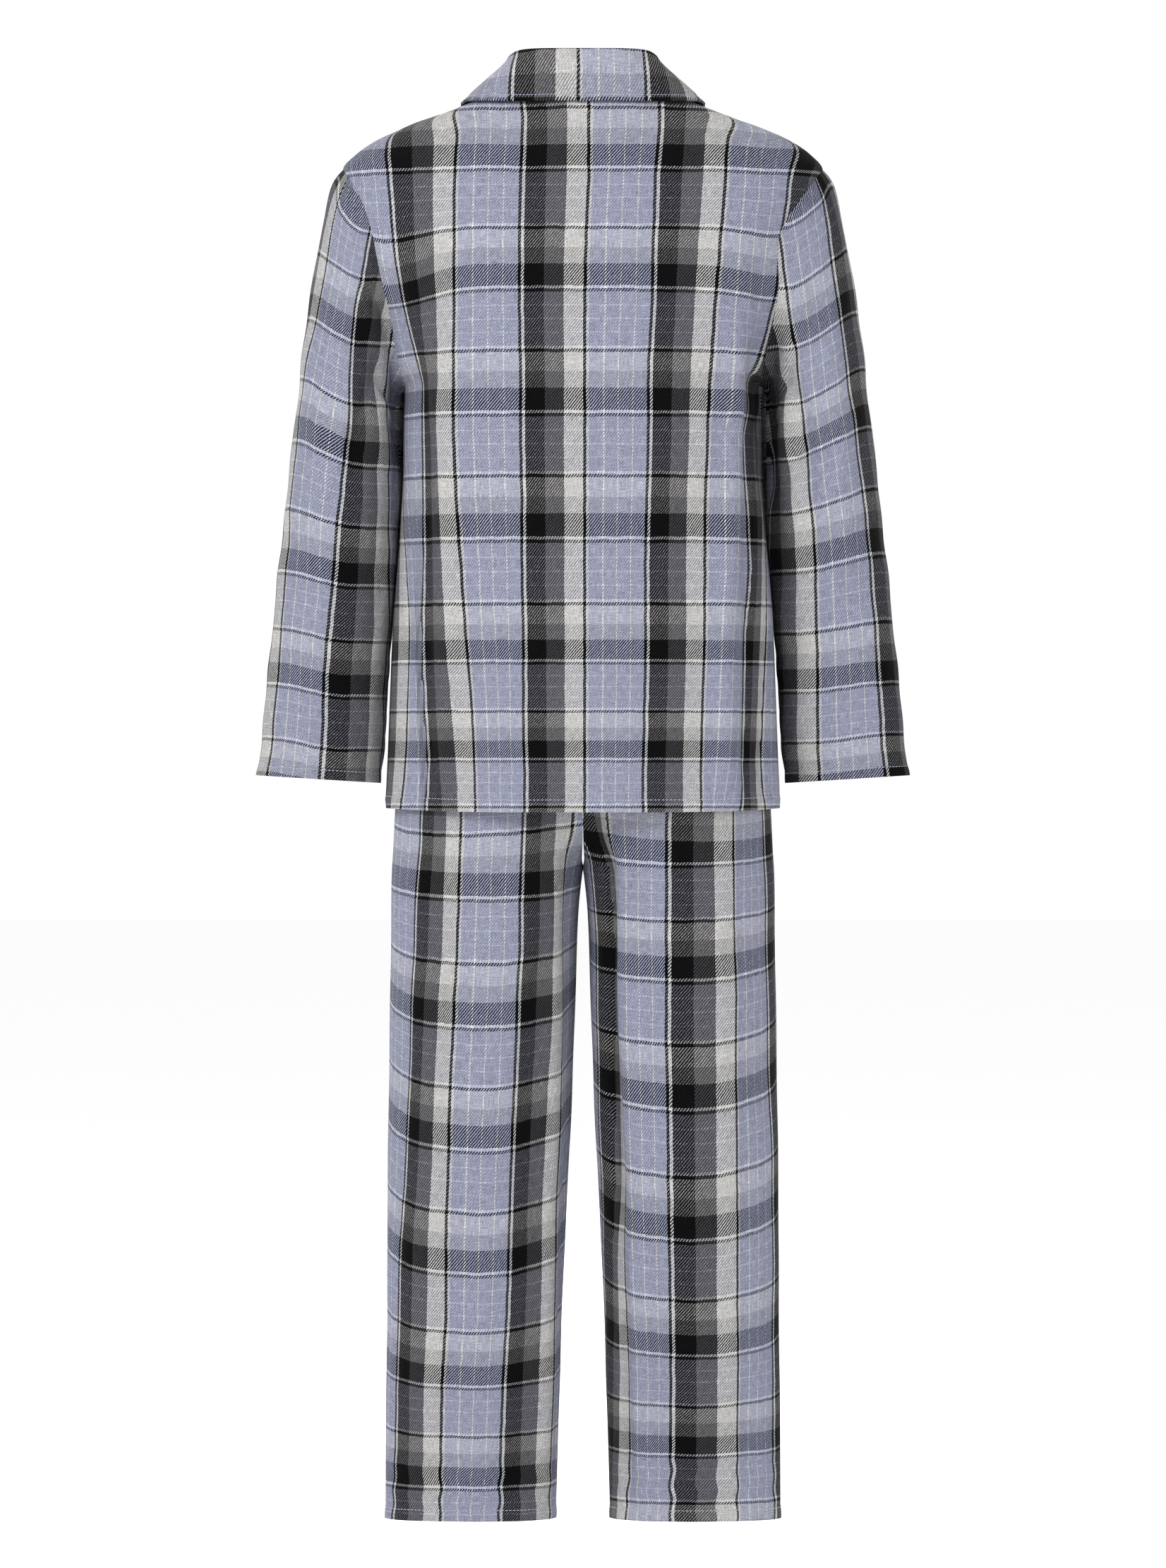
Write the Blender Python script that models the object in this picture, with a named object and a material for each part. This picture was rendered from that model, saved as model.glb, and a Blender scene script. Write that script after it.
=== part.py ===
"""Child's flannel pyjama set: a collared jacket over matching trousers, filled out as if worn.

Metres, +Z up. The wearer would face -Y, with the left arm on +X. The origin is the middle of the
neck opening at the height of the shoulders, which is where the wearer holds the set up. Tables and
named sizes are in millimetres. Each piece of cloth is its own closed wall, 0.3 mm from the next.
"""

import math
from collections import namedtuple

import bmesh
import bpy
import numpy as np

MM = 0.001
SEAM_GAP = 0.3
CLOTH = 1.5
COLLAR_CLOTH = 2.0
WAISTBAND_CLOTH = 3.0
# The least that the mean of a seam's unit directions counts as, which limits how far a mitred wall
# reaches, and how far panels turn towards each other at a seam that is a full crease.
MOST_MITRE = 0.6
FULL_CREASE = 0.3
SHARP_DEGREES = 50

# How many faces each panel has, across and down.
NECK_FACES = 4
SHOULDER_FACES = 8
ARMHOLE_FACES = 12
BODY_FACES = 9
SLEEVE_FACES = 13
HALF_COLLAR_FACES = 14
LAPEL_FACES = 5
LEG_FACES_ACROSS = 11
LEG_FACES_DOWN = 10
# Points on the fine lines that the coarse ones are stepped along, and levels searched for a height.
FINE = 800
LEVELS = 1200

# The torso's form: level sections are superellipses, so the back is flat and the sides round.
# half_width above the shoulder tip is the shoulder line, as seen from behind.
Section = namedtuple("Section", "z half_width back front roundness")
TORSO = [
    Section(12, 62, 47, 38, 2.3),
    Section(4, 82, 50.5, 44, 2.3),
    Section(-2.5, 98, 53, 47, 2.3),
    Section(-5.5, 105, 55, 49, 2.3),
    Section(-16, 136, 61, 55, 2.3),
    Section(-27.5, 162, 69, 62, 2.3),
    Section(-38, 177, 75, 68, 2.3),
    Section(-50, 187, 80, 73, 2.3),
    Section(-80, 187, 89, 83, 2.3),
    Section(-110, 182, 95, 91, 2.34),
    Section(-138, 178, 99, 97, 2.4),
    Section(-168, 166, 101, 100, 2.55),
    Section(-192, 154.5, 102, 102, 2.7),
    Section(-210, 145, 102, 103, 2.82),
    Section(-222, 139.5, 101.5, 103, 2.88),
    Section(-280, 140, 99, 102, 2.8),
    Section(-335, 143, 97.5, 100, 2.7),
    Section(-407, 148, 96.5, 99, 2.6),
    Section(-467, 150.7, 96.5, 99, 2.55),
    Section(-510, 152.4, 97.3, 99.5, 2.5),
    Section(-540, 153.5, 98, 100, 2.5),
    Section(-550, 152.8, 97.5, 99.5, 2.5),
]
NECK_HALF_WIDTH = 62
NECK_POINT_Z = 12
BACK_NECK_Z = 10
SHOULDER_TIP_X = 187
SHOULDER_TIP_Z = -50
UNDERARM_Z = -222
JACKET_HEM_Z = -550
HEM_RISE_AT_SIDES = 3
# How soon the rows under the shoulder line lie level, as a power of the fall of the armhole.
ROW_LEVELLING = 0.8

# The armhole seam, as seen from behind.
SeamPoint = namedtuple("SeamPoint", "z x")
ARMHOLE = [
    SeamPoint(-50, 187),
    SeamPoint(-71.5, 174),
    SeamPoint(-97.5, 164.5),
    SeamPoint(-139.5, 156.8),
    SeamPoint(-159.5, 152.4),
    SeamPoint(-192.5, 146.3),
    SeamPoint(-208, 142.5),
    SeamPoint(-222, 139.5),
]

# The fronts: the left one laps over the right by twice the overlap, lifted clear of it.
OVERLAP = 17
NECK_DROP_Z = -84
LAP_LIFT = 2.4
LAP_EASE_START = 20
LAP_EASE = 30

# Rings of the left sleeve: its outer and inner lines seen from behind, half its depth, and how far
# its middle has come forward. The armhole is the ring before the first.
Ring = namedtuple("Ring", "outer_x outer_z inner_x inner_z half_depth forward")
SLEEVE = [
    Ring(193.5, -71.5, 141.8, -226, 54, 0),
    Ring(203.5, -101, 142.2, -234, 57, 0),
    Ring(210.5, -134, 142.6, -246, 60, 1),
    Ring(217, -181, 143, -266, 61, 2),
    Ring(223, -232, 144, -296, 59, 4),
    Ring(229, -284, 145.4, -334, 54, 6),
    Ring(235.2, -340, 148, -378, 48, 8),
    Ring(241.2, -395, 150.6, -420, 42, 10),
    Ring(246.6, -448, 152.6, -464, 37, 12),
    Ring(251, -492, 155.4, -500, 33, 14),
    Ring(254.5, -521.5, 158.2, -527.5, 31, 15),
]
SLEEVE_ROUNDNESS = 2.2
# The rings over which the armhole's shape turns into the sleeve's own.
CAP_RINGS = 4

# Half the collar, by distance along the neck seam from the centre back: how far the roll stands
# above the seam, and over which point of the torso the fall's edge lies.
CollarSection = namedtuple("CollarSection", "along roll_up edge_x edge_y edge_lift")
COLLAR = [
    CollarSection(0, 30, 0, 51.5, 2.8),
    CollarSection(30, 29.7, 34, 49, 2.8),
    CollarSection(55, 28.7, 60, 41.5, 3),
    CollarSection(78, 25, 77.5, 28.5, 3.4),
    CollarSection(92, 20.5, 86, 12, 3.8),
    CollarSection(106, 16.5, 88.5, -8, 3.8),
    CollarSection(120, 12.5, 89, -27, 3.6),
    CollarSection(134, 9.5, 86, -42, 3),
    CollarSection(146, 7.5, 80, -53.8, 2.8),
]
COLLAR_LEAN = 0.2
# The collar's section, as shares of the roll's width: where the stand ends, the top of the roll,
# and where the fall begins.
COLLAR_ROLL = 7.0
STAND_END = 0.4
ROLL_TOP = 0.45
ROLL_RISE = 0.15
FALL_BULGE = 1.5
BULGE_UP = 0.6

# Each lapel: the fold from the gorge to the break, and the free edge from the tip to the break.
Lapel = namedtuple("Lapel", "gorge_x gorge_z tip_x tip_z fold_end_x fold_end_z edge_end_x edge_end_z")
LEFT_LAPEL = Lapel(47.5, -5.6, 83, -41, -9, -74.3, -12, -80)
RIGHT_LAPEL = Lapel(47.5, -5.6, 83, -41, 4, -58.5, 7, -65)
LAPEL_LIFT = 2.0
LAPEL_ROLL = 2.2
LAPEL_ROLL_FALLS = 0.8

# Trousers: hips as torso sections, then each leg by its outer and inner lines and depths.
LEG_ROUNDNESS = 2.3
HIPS = [
    Section(-345, 104, 78, 76, 2.1),
    Section(-375, 106, 79, 77, 2.1),
    Section(-400, 118, 84, 82, 2.1),
    Section(-440, 132, 90, 88, 2.1),
    Section(-480, 140, 94, 92.5, 2.15),
    Section(-505, 143.5, 95.3, 94, 2.15),
    Section(-530, 145.5, 94.5, 94.5, 2.15),
    Section(-555, 146.9, 93, 93.5, 2.15),
    Section(-592, 148.3, 90, 91, 2.15),
]
LegSection = namedtuple("LegSection", "z outer inner back front")
LEG = [
    LegSection(-505, 143.5, 0, 85, 84.5),
    LegSection(-592, 148.3, 0, 81, 80),
    LegSection(-600, 148.6, 0.9, 80.5, 79.5),
    LegSection(-621, 149, 2.75, 79, 77.5),
    LegSection(-687, 150.4, 5.5, 74, 71.5),
    LegSection(-753, 151.3, 8, 68.5, 65.5),
    LegSection(-852, 152.4, 12.1, 60, 57),
    LegSection(-951, 153.2, 16.5, 52, 49),
    LegSection(-1050, 154, 19.3, 45, 43),
    LegSection(-1099, 153.6, 20.6, 43, 41),
]
# How far each level has turned from half a hip into a leg: this draws the crotch seam.
CrotchPoint = namedtuple("CrotchPoint", "z turned")
CROTCH = [
    CrotchPoint(-375, 0),
    CrotchPoint(-400, 0),
    CrotchPoint(-430, 0),
    CrotchPoint(-462, 0),
    CrotchPoint(-490, 0),
    CrotchPoint(-515, 0.03),
    CrotchPoint(-537, 0.1),
    CrotchPoint(-556, 0.23),
    CrotchPoint(-571, 0.42),
    CrotchPoint(-582, 0.64),
    CrotchPoint(-589, 0.85),
    CrotchPoint(-592, 1),
]
# Away from that seam the hips turn into the legs over a longer run, so that no crease shows.
TURN_START_Z = -430
TURN_END_Z = -700
NEAR_SEAM_POWER = 5
WAIST_Z = -375
WAISTBAND_TOP_Z = -345
CROTCH_Z = -592
TROUSER_HEM_Z = -1099

# Folds: a soft trough (minus) or ridge (plus) along a line on a panel, as seen from behind.
FOLD_START = 0.35
FADE_FACES = 2
Fold = namedtuple("Fold", "top_x top_z bottom_x bottom_z height spread")
BACK_FOLDS = [
    Fold(128, -165, 122, -552, -4.5, 11),
    Fold(108, -215, 101, -552, 3.5, 13),
    Fold(-122, -170, -126, -552, -5, 11),
    Fold(-104, -210, -106, -552, 3.5, 13),
]
FRONT_FOLDS = [
    Fold(124, -175, 120, -552, -4, 12),
    Fold(100, -220, 98, -552, 3, 14),
]
LEFT_LEG_FOLDS = [
    Fold(118, -600, 128, -1100, 3.5, 13),
    Fold(96, -640, 100, -1100, -3.5, 14),
    Fold(38, -640, 48, -1090, -3, 13),
]
RIGHT_LEG_FOLDS = [
    Fold(112, -600, 124, -1100, -3.5, 13),
    Fold(36, -620, 46, -1100, 3.5, 13),
    Fold(60, -640, 66, -1100, -3, 14),
]
# Folds of a sleeve: where round it (0 outer, 0.25 back, 0.5 inner) and how far down it they run.
SLEEVE_FOLD_START = 0.12
SLEEVE_FOLD_END = 0.15
SleeveFold = namedtuple("SleeveFold", "around start end height spread")
LEFT_SLEEVE_FOLDS = [
    SleeveFold(0.32, 0.06, 0.42, -5, 0.045),
    SleeveFold(0.16, 0.15, 1.0, 2.5, 0.06),
    SleeveFold(0.69, 0.06, 0.45, -4, 0.05),
]
RIGHT_SLEEVE_FOLDS = [
    SleeveFold(0.33, 0.06, 0.5, -5.5, 0.05),
    SleeveFold(0.18, 0.2, 1.0, 2.5, 0.06),
    SleeveFold(0.67, 0.06, 0.4, -4, 0.05),
]

BUTTON_Z = (-96, -208, -320, -432)
BUTTON_HEIGHT = 2.4
BUTTON_STEPS = 16
# A button's half section, from the edge of its dish over the rim to the edge of its back.
ButtonPoint = namedtuple("ButtonPoint", "radius height")
BUTTON = [
    ButtonPoint(4.2, 1.7),
    ButtonPoint(4.8, 2.4),
    ButtonPoint(5.6, 2.4),
    ButtonPoint(6, 1.7),
    ButtonPoint(5.5, 0.3),
    ButtonPoint(4.5, 0),
]
BUTTON_HOLES = 4
BUTTON_HOLE_RADIUS = 0.8
BUTTON_HOLE_SIDES = 8
BUTTON_HOLE_REACH = 2.1

LEFT, RIGHT = 1, -1
BACK, FRONT = 1, -1


def smooth_curve(rows, key, value):
    """A monotone cubic through a table's columns, so that no section overshoots the next."""
    x = np.array([getattr(row, key) for row in rows], float)
    y = np.array([getattr(row, value) for row in rows], float)
    order = np.argsort(x)
    x, y = x[order], y[order]
    step = np.diff(x)
    slope = np.diff(y) / step
    tangent = np.zeros(len(x))
    same_way = slope[:-1] * slope[1:] > 0
    with np.errstate(divide="ignore", invalid="ignore"):
        mean = 2 * slope[:-1] * slope[1:] / (slope[:-1] + slope[1:])
    tangent[1:-1] = np.where(same_way, mean, 0)
    tangent[0], tangent[-1] = slope[0], slope[-1]

    def at(where):
        where = np.clip(np.asarray(where, float), x[0], x[-1])
        cell = np.clip(np.searchsorted(x, where) - 1, 0, len(step) - 1)
        t = (where - x[cell]) / step[cell]
        rise = y[cell + 1] - y[cell]
        a = tangent[cell] * step[cell] - rise
        b = rise - tangent[cell + 1] * step[cell]
        return y[cell] + t * rise + t * (1 - t) * (a * (1 - t) + b * t)

    return at


half_width = smooth_curve(TORSO, "z", "half_width")
back_depth = smooth_curve(TORSO, "z", "back")
front_depth = smooth_curve(TORSO, "z", "front")
roundness = smooth_curve(TORSO, "z", "roundness")
armhole_x = smooth_curve(ARMHOLE, "z", "x")


def ease(t):
    t = np.clip(t, 0, 1)
    return t * t * (3 - 2 * t)


def unit(vectors):
    return vectors / np.maximum(np.linalg.norm(vectors, axis=-1, keepdims=True), 1e-12)


def superellipse(x, width, reach, roundness):
    inside = np.clip(1 - np.abs(x / width) ** roundness, 0, 1)
    return reach * inside ** (1 / roundness)


def torso_depth(x, z, side):
    reach = back_depth(z) if side == BACK else front_depth(z)
    return side * superellipse(x, half_width(z), reach, roundness(z))


def on_torso(x, z, side, lift):
    """Points on the torso's form, moved out by lift along its own direction."""

    def level_of(x, y, z):
        reach = back_depth(z) if side == BACK else front_depth(z)
        power = roundness(z)
        return np.abs(x / half_width(z)) ** power + np.abs(y / reach) ** power

    y = torso_depth(x, z, side)
    d = 0.2
    gradient = np.stack(
        [
            level_of(x + d, y, z) - level_of(x - d, y, z),
            level_of(x, y + d, z) - level_of(x, y - d, z),
            level_of(x, y, z + d) - level_of(x, y, z - d),
        ],
        axis=-1,
    )
    lift = np.asarray(lift, float)[..., None]
    return np.stack([x, y, z], axis=-1) + lift * unit(gradient)


def torso_top(x, y):
    """The height of the torso's form over a point."""
    levels = np.linspace(NECK_POINT_Z, UNDERARM_Z, LEVELS)
    reach = back_depth(levels) if y > 0 else front_depth(levels)
    power = roundness(levels)
    filled = np.abs(x / half_width(levels)) ** power + np.abs(y / reach) ** power
    return np.interp(-1, -filled, levels)


def distances(points):
    steps = np.linalg.norm(np.diff(points, axis=0), axis=1)
    return np.concatenate([[0], np.cumsum(steps)])


def along(points, fractions):
    """Points at these fractions of a line's length."""
    run = distances(points)
    where = np.asarray(fractions, float) * run[-1]
    return np.stack([np.interp(where, run, points[:, i]) for i in range(3)], axis=1)


# The shoulder line, read the other way: the height of the torso's top at each x.
SHOULDER_LEVELS = np.linspace(NECK_POINT_Z, SHOULDER_TIP_Z, FINE)
SHOULDER_WIDTHS = half_width(SHOULDER_LEVELS)


def shoulder_z(x):
    return np.interp(x, SHOULDER_WIDTHS, SHOULDER_LEVELS)


def back_top_z(x):
    neck = BACK_NECK_Z + (NECK_POINT_Z - BACK_NECK_Z) * (x / NECK_HALF_WIDTH) ** 2
    return np.where(x < NECK_HALF_WIDTH, neck, shoulder_z(x))


def front_top_z(x):
    drop = NECK_POINT_Z - NECK_DROP_Z
    neck = NECK_DROP_Z + drop * (x + OVERLAP) / (NECK_HALF_WIDTH + OVERLAP)
    return np.where(x < NECK_HALF_WIDTH, neck, shoulder_z(x))


def armhole_line(side):
    """The armhole seam from the shoulder tip to the underarm, in even steps."""
    fallen = (1 - np.cos(np.linspace(0, math.pi, FINE))) / 2
    z = SHOULDER_TIP_Z + (UNDERARM_Z - SHOULDER_TIP_Z) * fallen
    x = armhole_x(z)
    line = np.stack([x, torso_depth(x, z, side), z], axis=1)
    line[0] = (SHOULDER_TIP_X, 0, SHOULDER_TIP_Z)
    line[-1] = (half_width(UNDERARM_Z), 0, UNDERARM_Z)
    return along(line, np.linspace(0, 1, ARMHOLE_FACES + 1))


def neck_line(start_x, top_z, side):
    """The neck seam of a panel, from its middle line to the neck point on the shoulder."""
    x = start_x + (NECK_HALF_WIDTH - start_x) * np.sin(np.linspace(0, math.pi / 2, FINE))
    z = top_z(x)
    line = np.stack([x, torso_depth(x, z, side), z], axis=1)
    line[-1] = (NECK_HALF_WIDTH, 0, NECK_POINT_Z)
    return line


def shoulder_line():
    """The shoulder seam from the neck point to the shoulder tip."""
    x = np.linspace(NECK_HALF_WIDTH, SHOULDER_TIP_X, FINE)
    line = np.stack([x, np.zeros(FINE), shoulder_z(x)], axis=1)
    return along(line, np.linspace(0, 1, SHOULDER_FACES + 1))


def torso_row(start_x, edge, top_z, side, turned, fractions):
    """One row of a panel, from start_x to a point of the armhole or side seam."""
    reach = (1 - np.cos(np.linspace(0, math.pi, FINE))) / 2
    x = start_x + (edge[0] - start_x) * reach
    z = edge[2] + (1 - turned) * (top_z(np.maximum(x, start_x)) - top_z(edge[0]))
    line = np.stack([x, torso_depth(x, z, side), z], axis=1)
    line[-1] = edge
    return along(line, fractions)


def torso_panel(start_x, top_z, side):
    """Half a body panel, from its middle line out to the armhole and the side seam."""
    neck = neck_line(start_x, top_z, side)
    neck_length, shoulder_length = distances(neck)[-1], distances(shoulder_line())[-1]
    neck_share = neck_length / (neck_length + shoulder_length)
    fractions = np.concatenate(
        [
            np.linspace(0, neck_share, NECK_FACES + 1)[:-1],
            np.linspace(neck_share, 1, SHOULDER_FACES + 1),
        ]
    )
    rows = [
        np.concatenate([along(neck, np.linspace(0, 1, NECK_FACES + 1))[:-1], shoulder_line()])
    ]
    for edge in armhole_line(side)[1:]:
        fallen = (SHOULDER_TIP_Z - edge[2]) / (SHOULDER_TIP_Z - UNDERARM_Z)
        rows.append(torso_row(start_x, edge, top_z, side, fallen**ROW_LEVELLING, fractions))
    for level in np.linspace(UNDERARM_Z, JACKET_HEM_Z, BODY_FACES + 1)[1:]:
        edge = np.array([half_width(level), 0, level])
        row = torso_row(start_x, edge, top_z, side, 1, fractions)
        near_hem = ease((UNDERARM_Z - level) / (UNDERARM_Z - JACKET_HEM_Z))
        row[:, 2] += HEM_RISE_AT_SIDES * near_hem * (np.abs(row[:, 0]) / half_width(level)) ** 4
        rows.append(row)
    return np.array(rows)


def lap_lift(x):
    return LAP_LIFT * (1 - ease((x - LAP_EASE_START) / LAP_EASE))


def mirrored(grid):
    return grid * np.array([-1, 1, 1])


def face_normals(grid, wrapped):
    """Outward directions at each point, weighed by the faces around it."""
    right = np.roll(grid, -1, axis=1) if wrapped else grid[:, 1:]
    left = grid if wrapped else grid[:, :-1]
    diagonal = right[1:] - left[:-1]
    other = right[:-1] - left[1:]
    faces = np.cross(diagonal, other)
    total = np.zeros_like(grid)
    columns = faces.shape[1]
    for down in (0, 1):
        for across in (0, 1):
            if wrapped:
                total[down : down + len(faces)] += np.roll(faces, across, axis=1)
            else:
                total[down : down + len(faces), across : across + columns] += faces
    return total


EDGES = {
    "top": (np.s_[0], np.s_[1]),
    "bottom": (np.s_[-1], np.s_[-2]),
    "first": (np.s_[:, 0], np.s_[:, 1]),
    "last": (np.s_[:, -1], np.s_[:, -2]),
}


class Panel:
    """A piece of cloth: a grid of points on its outer face, rows down and columns across."""

    def __init__(self, name, grid, material, wrapped=False, seams=(), cloth=CLOTH):
        self.name = name
        self.grid = grid
        self.material = material
        self.wrapped = wrapped
        self.seams = seams
        self.cloth = cloth
        self.normals = unit(face_normals(grid, wrapped))
        self.parting = np.zeros_like(grid)

    def face(self, outward):
        """Turns the directions so that they agree with this one, or these ones, on the whole."""
        if np.sum(self.normals * outward) < 0:
            self.normals = -self.normals
        return self

    def face_away_from_axis(self):
        return self.face(self.grid - self.grid.mean(axis=1, keepdims=True))

    def fold(self, heights):
        self.grid = self.grid + heights[..., None] * self.normals

    def keys(self):
        """Its points, rounded so that another panel's same points can be found."""
        return [tuple(point) for point in np.round(self.grid.reshape(-1, 3), 3).tolist()]

    def into(self):
        """Directions from its seams into the panel, square to each seam, and 0 elsewhere."""
        total = np.zeros_like(self.grid)
        for seam in self.seams:
            edge, inside = (self.grid[where] for where in EDGES[seam])
            if self.wrapped:
                tangent = unit(np.roll(edge, -1, axis=0) - np.roll(edge, 1, axis=0))
            else:
                tangent = unit(np.gradient(edge, axis=0))
            inward = inside - edge
            inward -= np.sum(inward * tangent, axis=1, keepdims=True) * tangent
            total[EDGES[seam][0]] += unit(inward)
        return unit(total)


def meetings(panels):
    """For each point, the panels that have it: each one's number, outward and inward directions."""
    met = {}
    for number, panel in enumerate(panels):
        rows = zip(panel.keys(), panel.normals.reshape(-1, 3), panel.into().reshape(-1, 3))
        for key, normal, into in rows:
            met.setdefault(key, []).append((number, normal, into))
    return met


def share_directions(panels):
    """Mitres the walls of panels that meet at a ridge; at a crease their walls part by themselves."""
    met = meetings(panels)
    for number, panel in enumerate(panels):
        shared = []
        for key, own in zip(panel.keys(), panel.normals.reshape(-1, 3)):
            mean = np.mean([normal for _, normal, _ in met[key]], axis=0)
            lean = max(np.linalg.norm(mean), MOST_MITRE)
            creases = [into @ own for other, _, into in met[key] if other != number]
            crease = np.clip(max(creases, default=0) / FULL_CREASE, 0, 1)
            shared.append((1 - crease) * unit(mean) / lean + crease * own)
        panel.normals = np.array(shared).reshape(panel.grid.shape)


def part_seams(panels):
    """Moves each panel's seams half the gap away from the pieces across them."""
    met = meetings(panels)
    for number, panel in enumerate(panels):
        parting = []
        for key, own in zip(panel.keys(), panel.into().reshape(-1, 3)):
            others = [into for other, _, into in met[key] if other != number]
            away = own - np.mean(others, axis=0) if others else own
            parting.append(unit(away) * SEAM_GAP / 2)
        panel.parting = np.array(parting).reshape(panel.grid.shape)


def wall(panel):
    """The closed wall between a panel's outer face and the same face moved in.

    Panels are lofts between unlike sections, and their walls are mitred at the seams, so the faces
    are made here from the grid.
    """
    outer = panel.grid + panel.parting
    inner = outer - panel.cloth * panel.normals
    rows, columns = outer.shape[:2]
    mesh = bmesh.new()
    layers = [
        [[mesh.verts.new(point * MM) for point in row] for row in layer] for layer in (outer, inner)
    ]
    last = columns if panel.wrapped else columns - 1
    for layer in layers:
        for i in range(rows - 1):
            for j in range(last):
                k = (j + 1) % columns
                mesh.faces.new((layer[i][j], layer[i][k], layer[i + 1][k], layer[i + 1][j]))
    rim = [[(0, j), (0, (j + 1) % columns)] for j in range(last)]
    rim += [[(rows - 1, j), (rows - 1, (j + 1) % columns)] for j in range(last)]
    if not panel.wrapped:
        rim += [[(i, j), (i + 1, j)] for i in range(rows - 1) for j in (0, columns - 1)]
    for (i, j), (k, m) in rim:
        mesh.faces.new((layers[0][i][j], layers[0][k][m], layers[1][k][m], layers[1][i][j]))
    bmesh.ops.recalc_face_normals(mesh, faces=mesh.faces)
    return mesh


def add_object(name, mesh, material, collection):
    data = bpy.data.meshes.new(name)
    mesh.to_mesh(data)
    mesh.free()
    data.shade_smooth()
    data.set_sharp_from_angle(angle=math.radians(SHARP_DEGREES))
    data.materials.append(material)
    made = bpy.data.objects.new(name, data)
    collection.objects.link(made)
    return made


def line_distance(x, z, fold):
    """How far along a fold's line a point is, from 0 to 1, and how far off it sideways."""
    down = (fold.top_z - z) / (fold.top_z - fold.bottom_z)
    across = x - (fold.top_x + (fold.bottom_x - fold.top_x) * down)
    return down, across


def fold_heights(grid, folds):
    x, z = grid[..., 0], grid[..., 2]
    total = np.zeros(x.shape)
    for fold in folds:
        down, across = line_distance(x, z, fold)
        fade = ease(down / FOLD_START)
        total += fold.height * np.exp(-((across / fold.spread) ** 2)) * fade
    return total


def edge_fade(grid, edges):
    """0 on the named seams of a grid and 1 away from them, so that folds leave seams alone."""
    rows, columns = grid.shape[:2]
    down, across = np.meshgrid(np.arange(rows), np.arange(columns), indexing="ij")
    away = {"top": down, "bottom": rows - 1 - down, "first": across, "last": columns - 1 - across}
    fade = np.ones((rows, columns))
    for edge in edges:
        fade *= ease(away[edge] / FADE_FACES)
    return fade


def jacket_body(flannel):
    half = torso_panel(0, back_top_z, BACK)
    whole = np.concatenate([mirrored(half)[:, :0:-1], half], axis=1)
    back = Panel("jacket_back", whole, flannel, seams=("top", "first", "last")).face((0, 1, 0))
    back.fold(fold_heights(whole, BACK_FOLDS) * edge_fade(whole, ("top", "first", "last")))
    fronts = []
    for side, name in ((LEFT, "jacket_front_left"), (RIGHT, "jacket_front_right")):
        grid = torso_panel(-OVERLAP, front_top_z, FRONT)
        heights = fold_heights(grid, FRONT_FOLDS) * edge_fade(grid, ("top", "last"))
        if side == LEFT:
            heights = heights + lap_lift(grid[..., 0])
        else:
            grid = mirrored(grid)
        front = Panel(name, grid, flannel, seams=("top", "last")).face((0, -1, 0))
        front.fold(heights)
        fronts.append(front)
    return [back, *fronts]


def sleeve_ring(ring, columns):
    turn = np.linspace(0, 2 * math.pi, 2 * FINE)
    cosine, sine = np.cos(turn), np.sin(turn)
    power = 2 / SLEEVE_ROUNDNESS
    out = np.sign(cosine) * np.abs(cosine) ** power
    back = np.sign(sine) * np.abs(sine) ** power
    outer = np.array([ring.outer_x, 0, ring.outer_z])
    inner = np.array([ring.inner_x, 0, ring.inner_z])
    line = (outer + inner) / 2 + out[:, None] * (outer - inner) / 2
    line[:, 1] = ring.half_depth * back - ring.forward
    return along(line, np.linspace(0, 1, columns + 1))[:-1]


def sleeve(name, side, folds, flannel):
    armhole = np.concatenate([armhole_line(BACK), armhole_line(FRONT)[-2:0:-1]])
    columns = len(armhole)
    table = [[getattr(row, field) for row in SLEEVE] for field in Ring._fields]
    numbers = np.arange(1, len(SLEEVE) + 1)
    levels = np.linspace(1, len(SLEEVE), SLEEVE_FACES)
    rings = [armhole]
    for level in levels:
        values = [np.interp(level, numbers, column) for column in table]
        ring = sleeve_ring(Ring(*values), columns)
        mix = ease(level / CAP_RINGS)
        moved = armhole + ring.mean(axis=0) - armhole.mean(axis=0)
        rings.append((1 - mix) * moved + mix * ring)
    grid = np.array(rings)
    down = np.linspace(0, 1, len(grid))[:, None]
    around = np.arange(columns)[None, :] / columns
    heights = np.zeros((len(grid), columns))
    for fold in folds:
        off = (around - fold.around + 0.5) % 1 - 0.5
        run = ease((down - fold.start) / SLEEVE_FOLD_START)
        if fold.end < 1:
            run = run * ease((fold.end - down) / SLEEVE_FOLD_END)
        heights += fold.height * np.exp(-((off / fold.spread) ** 2)) * run
    heights[0] = 0
    if side == RIGHT:
        grid = mirrored(grid)
    made = Panel(name, grid, flannel, wrapped=True, seams=("top",)).face_away_from_axis()
    made.fold(heights)
    return made


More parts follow.
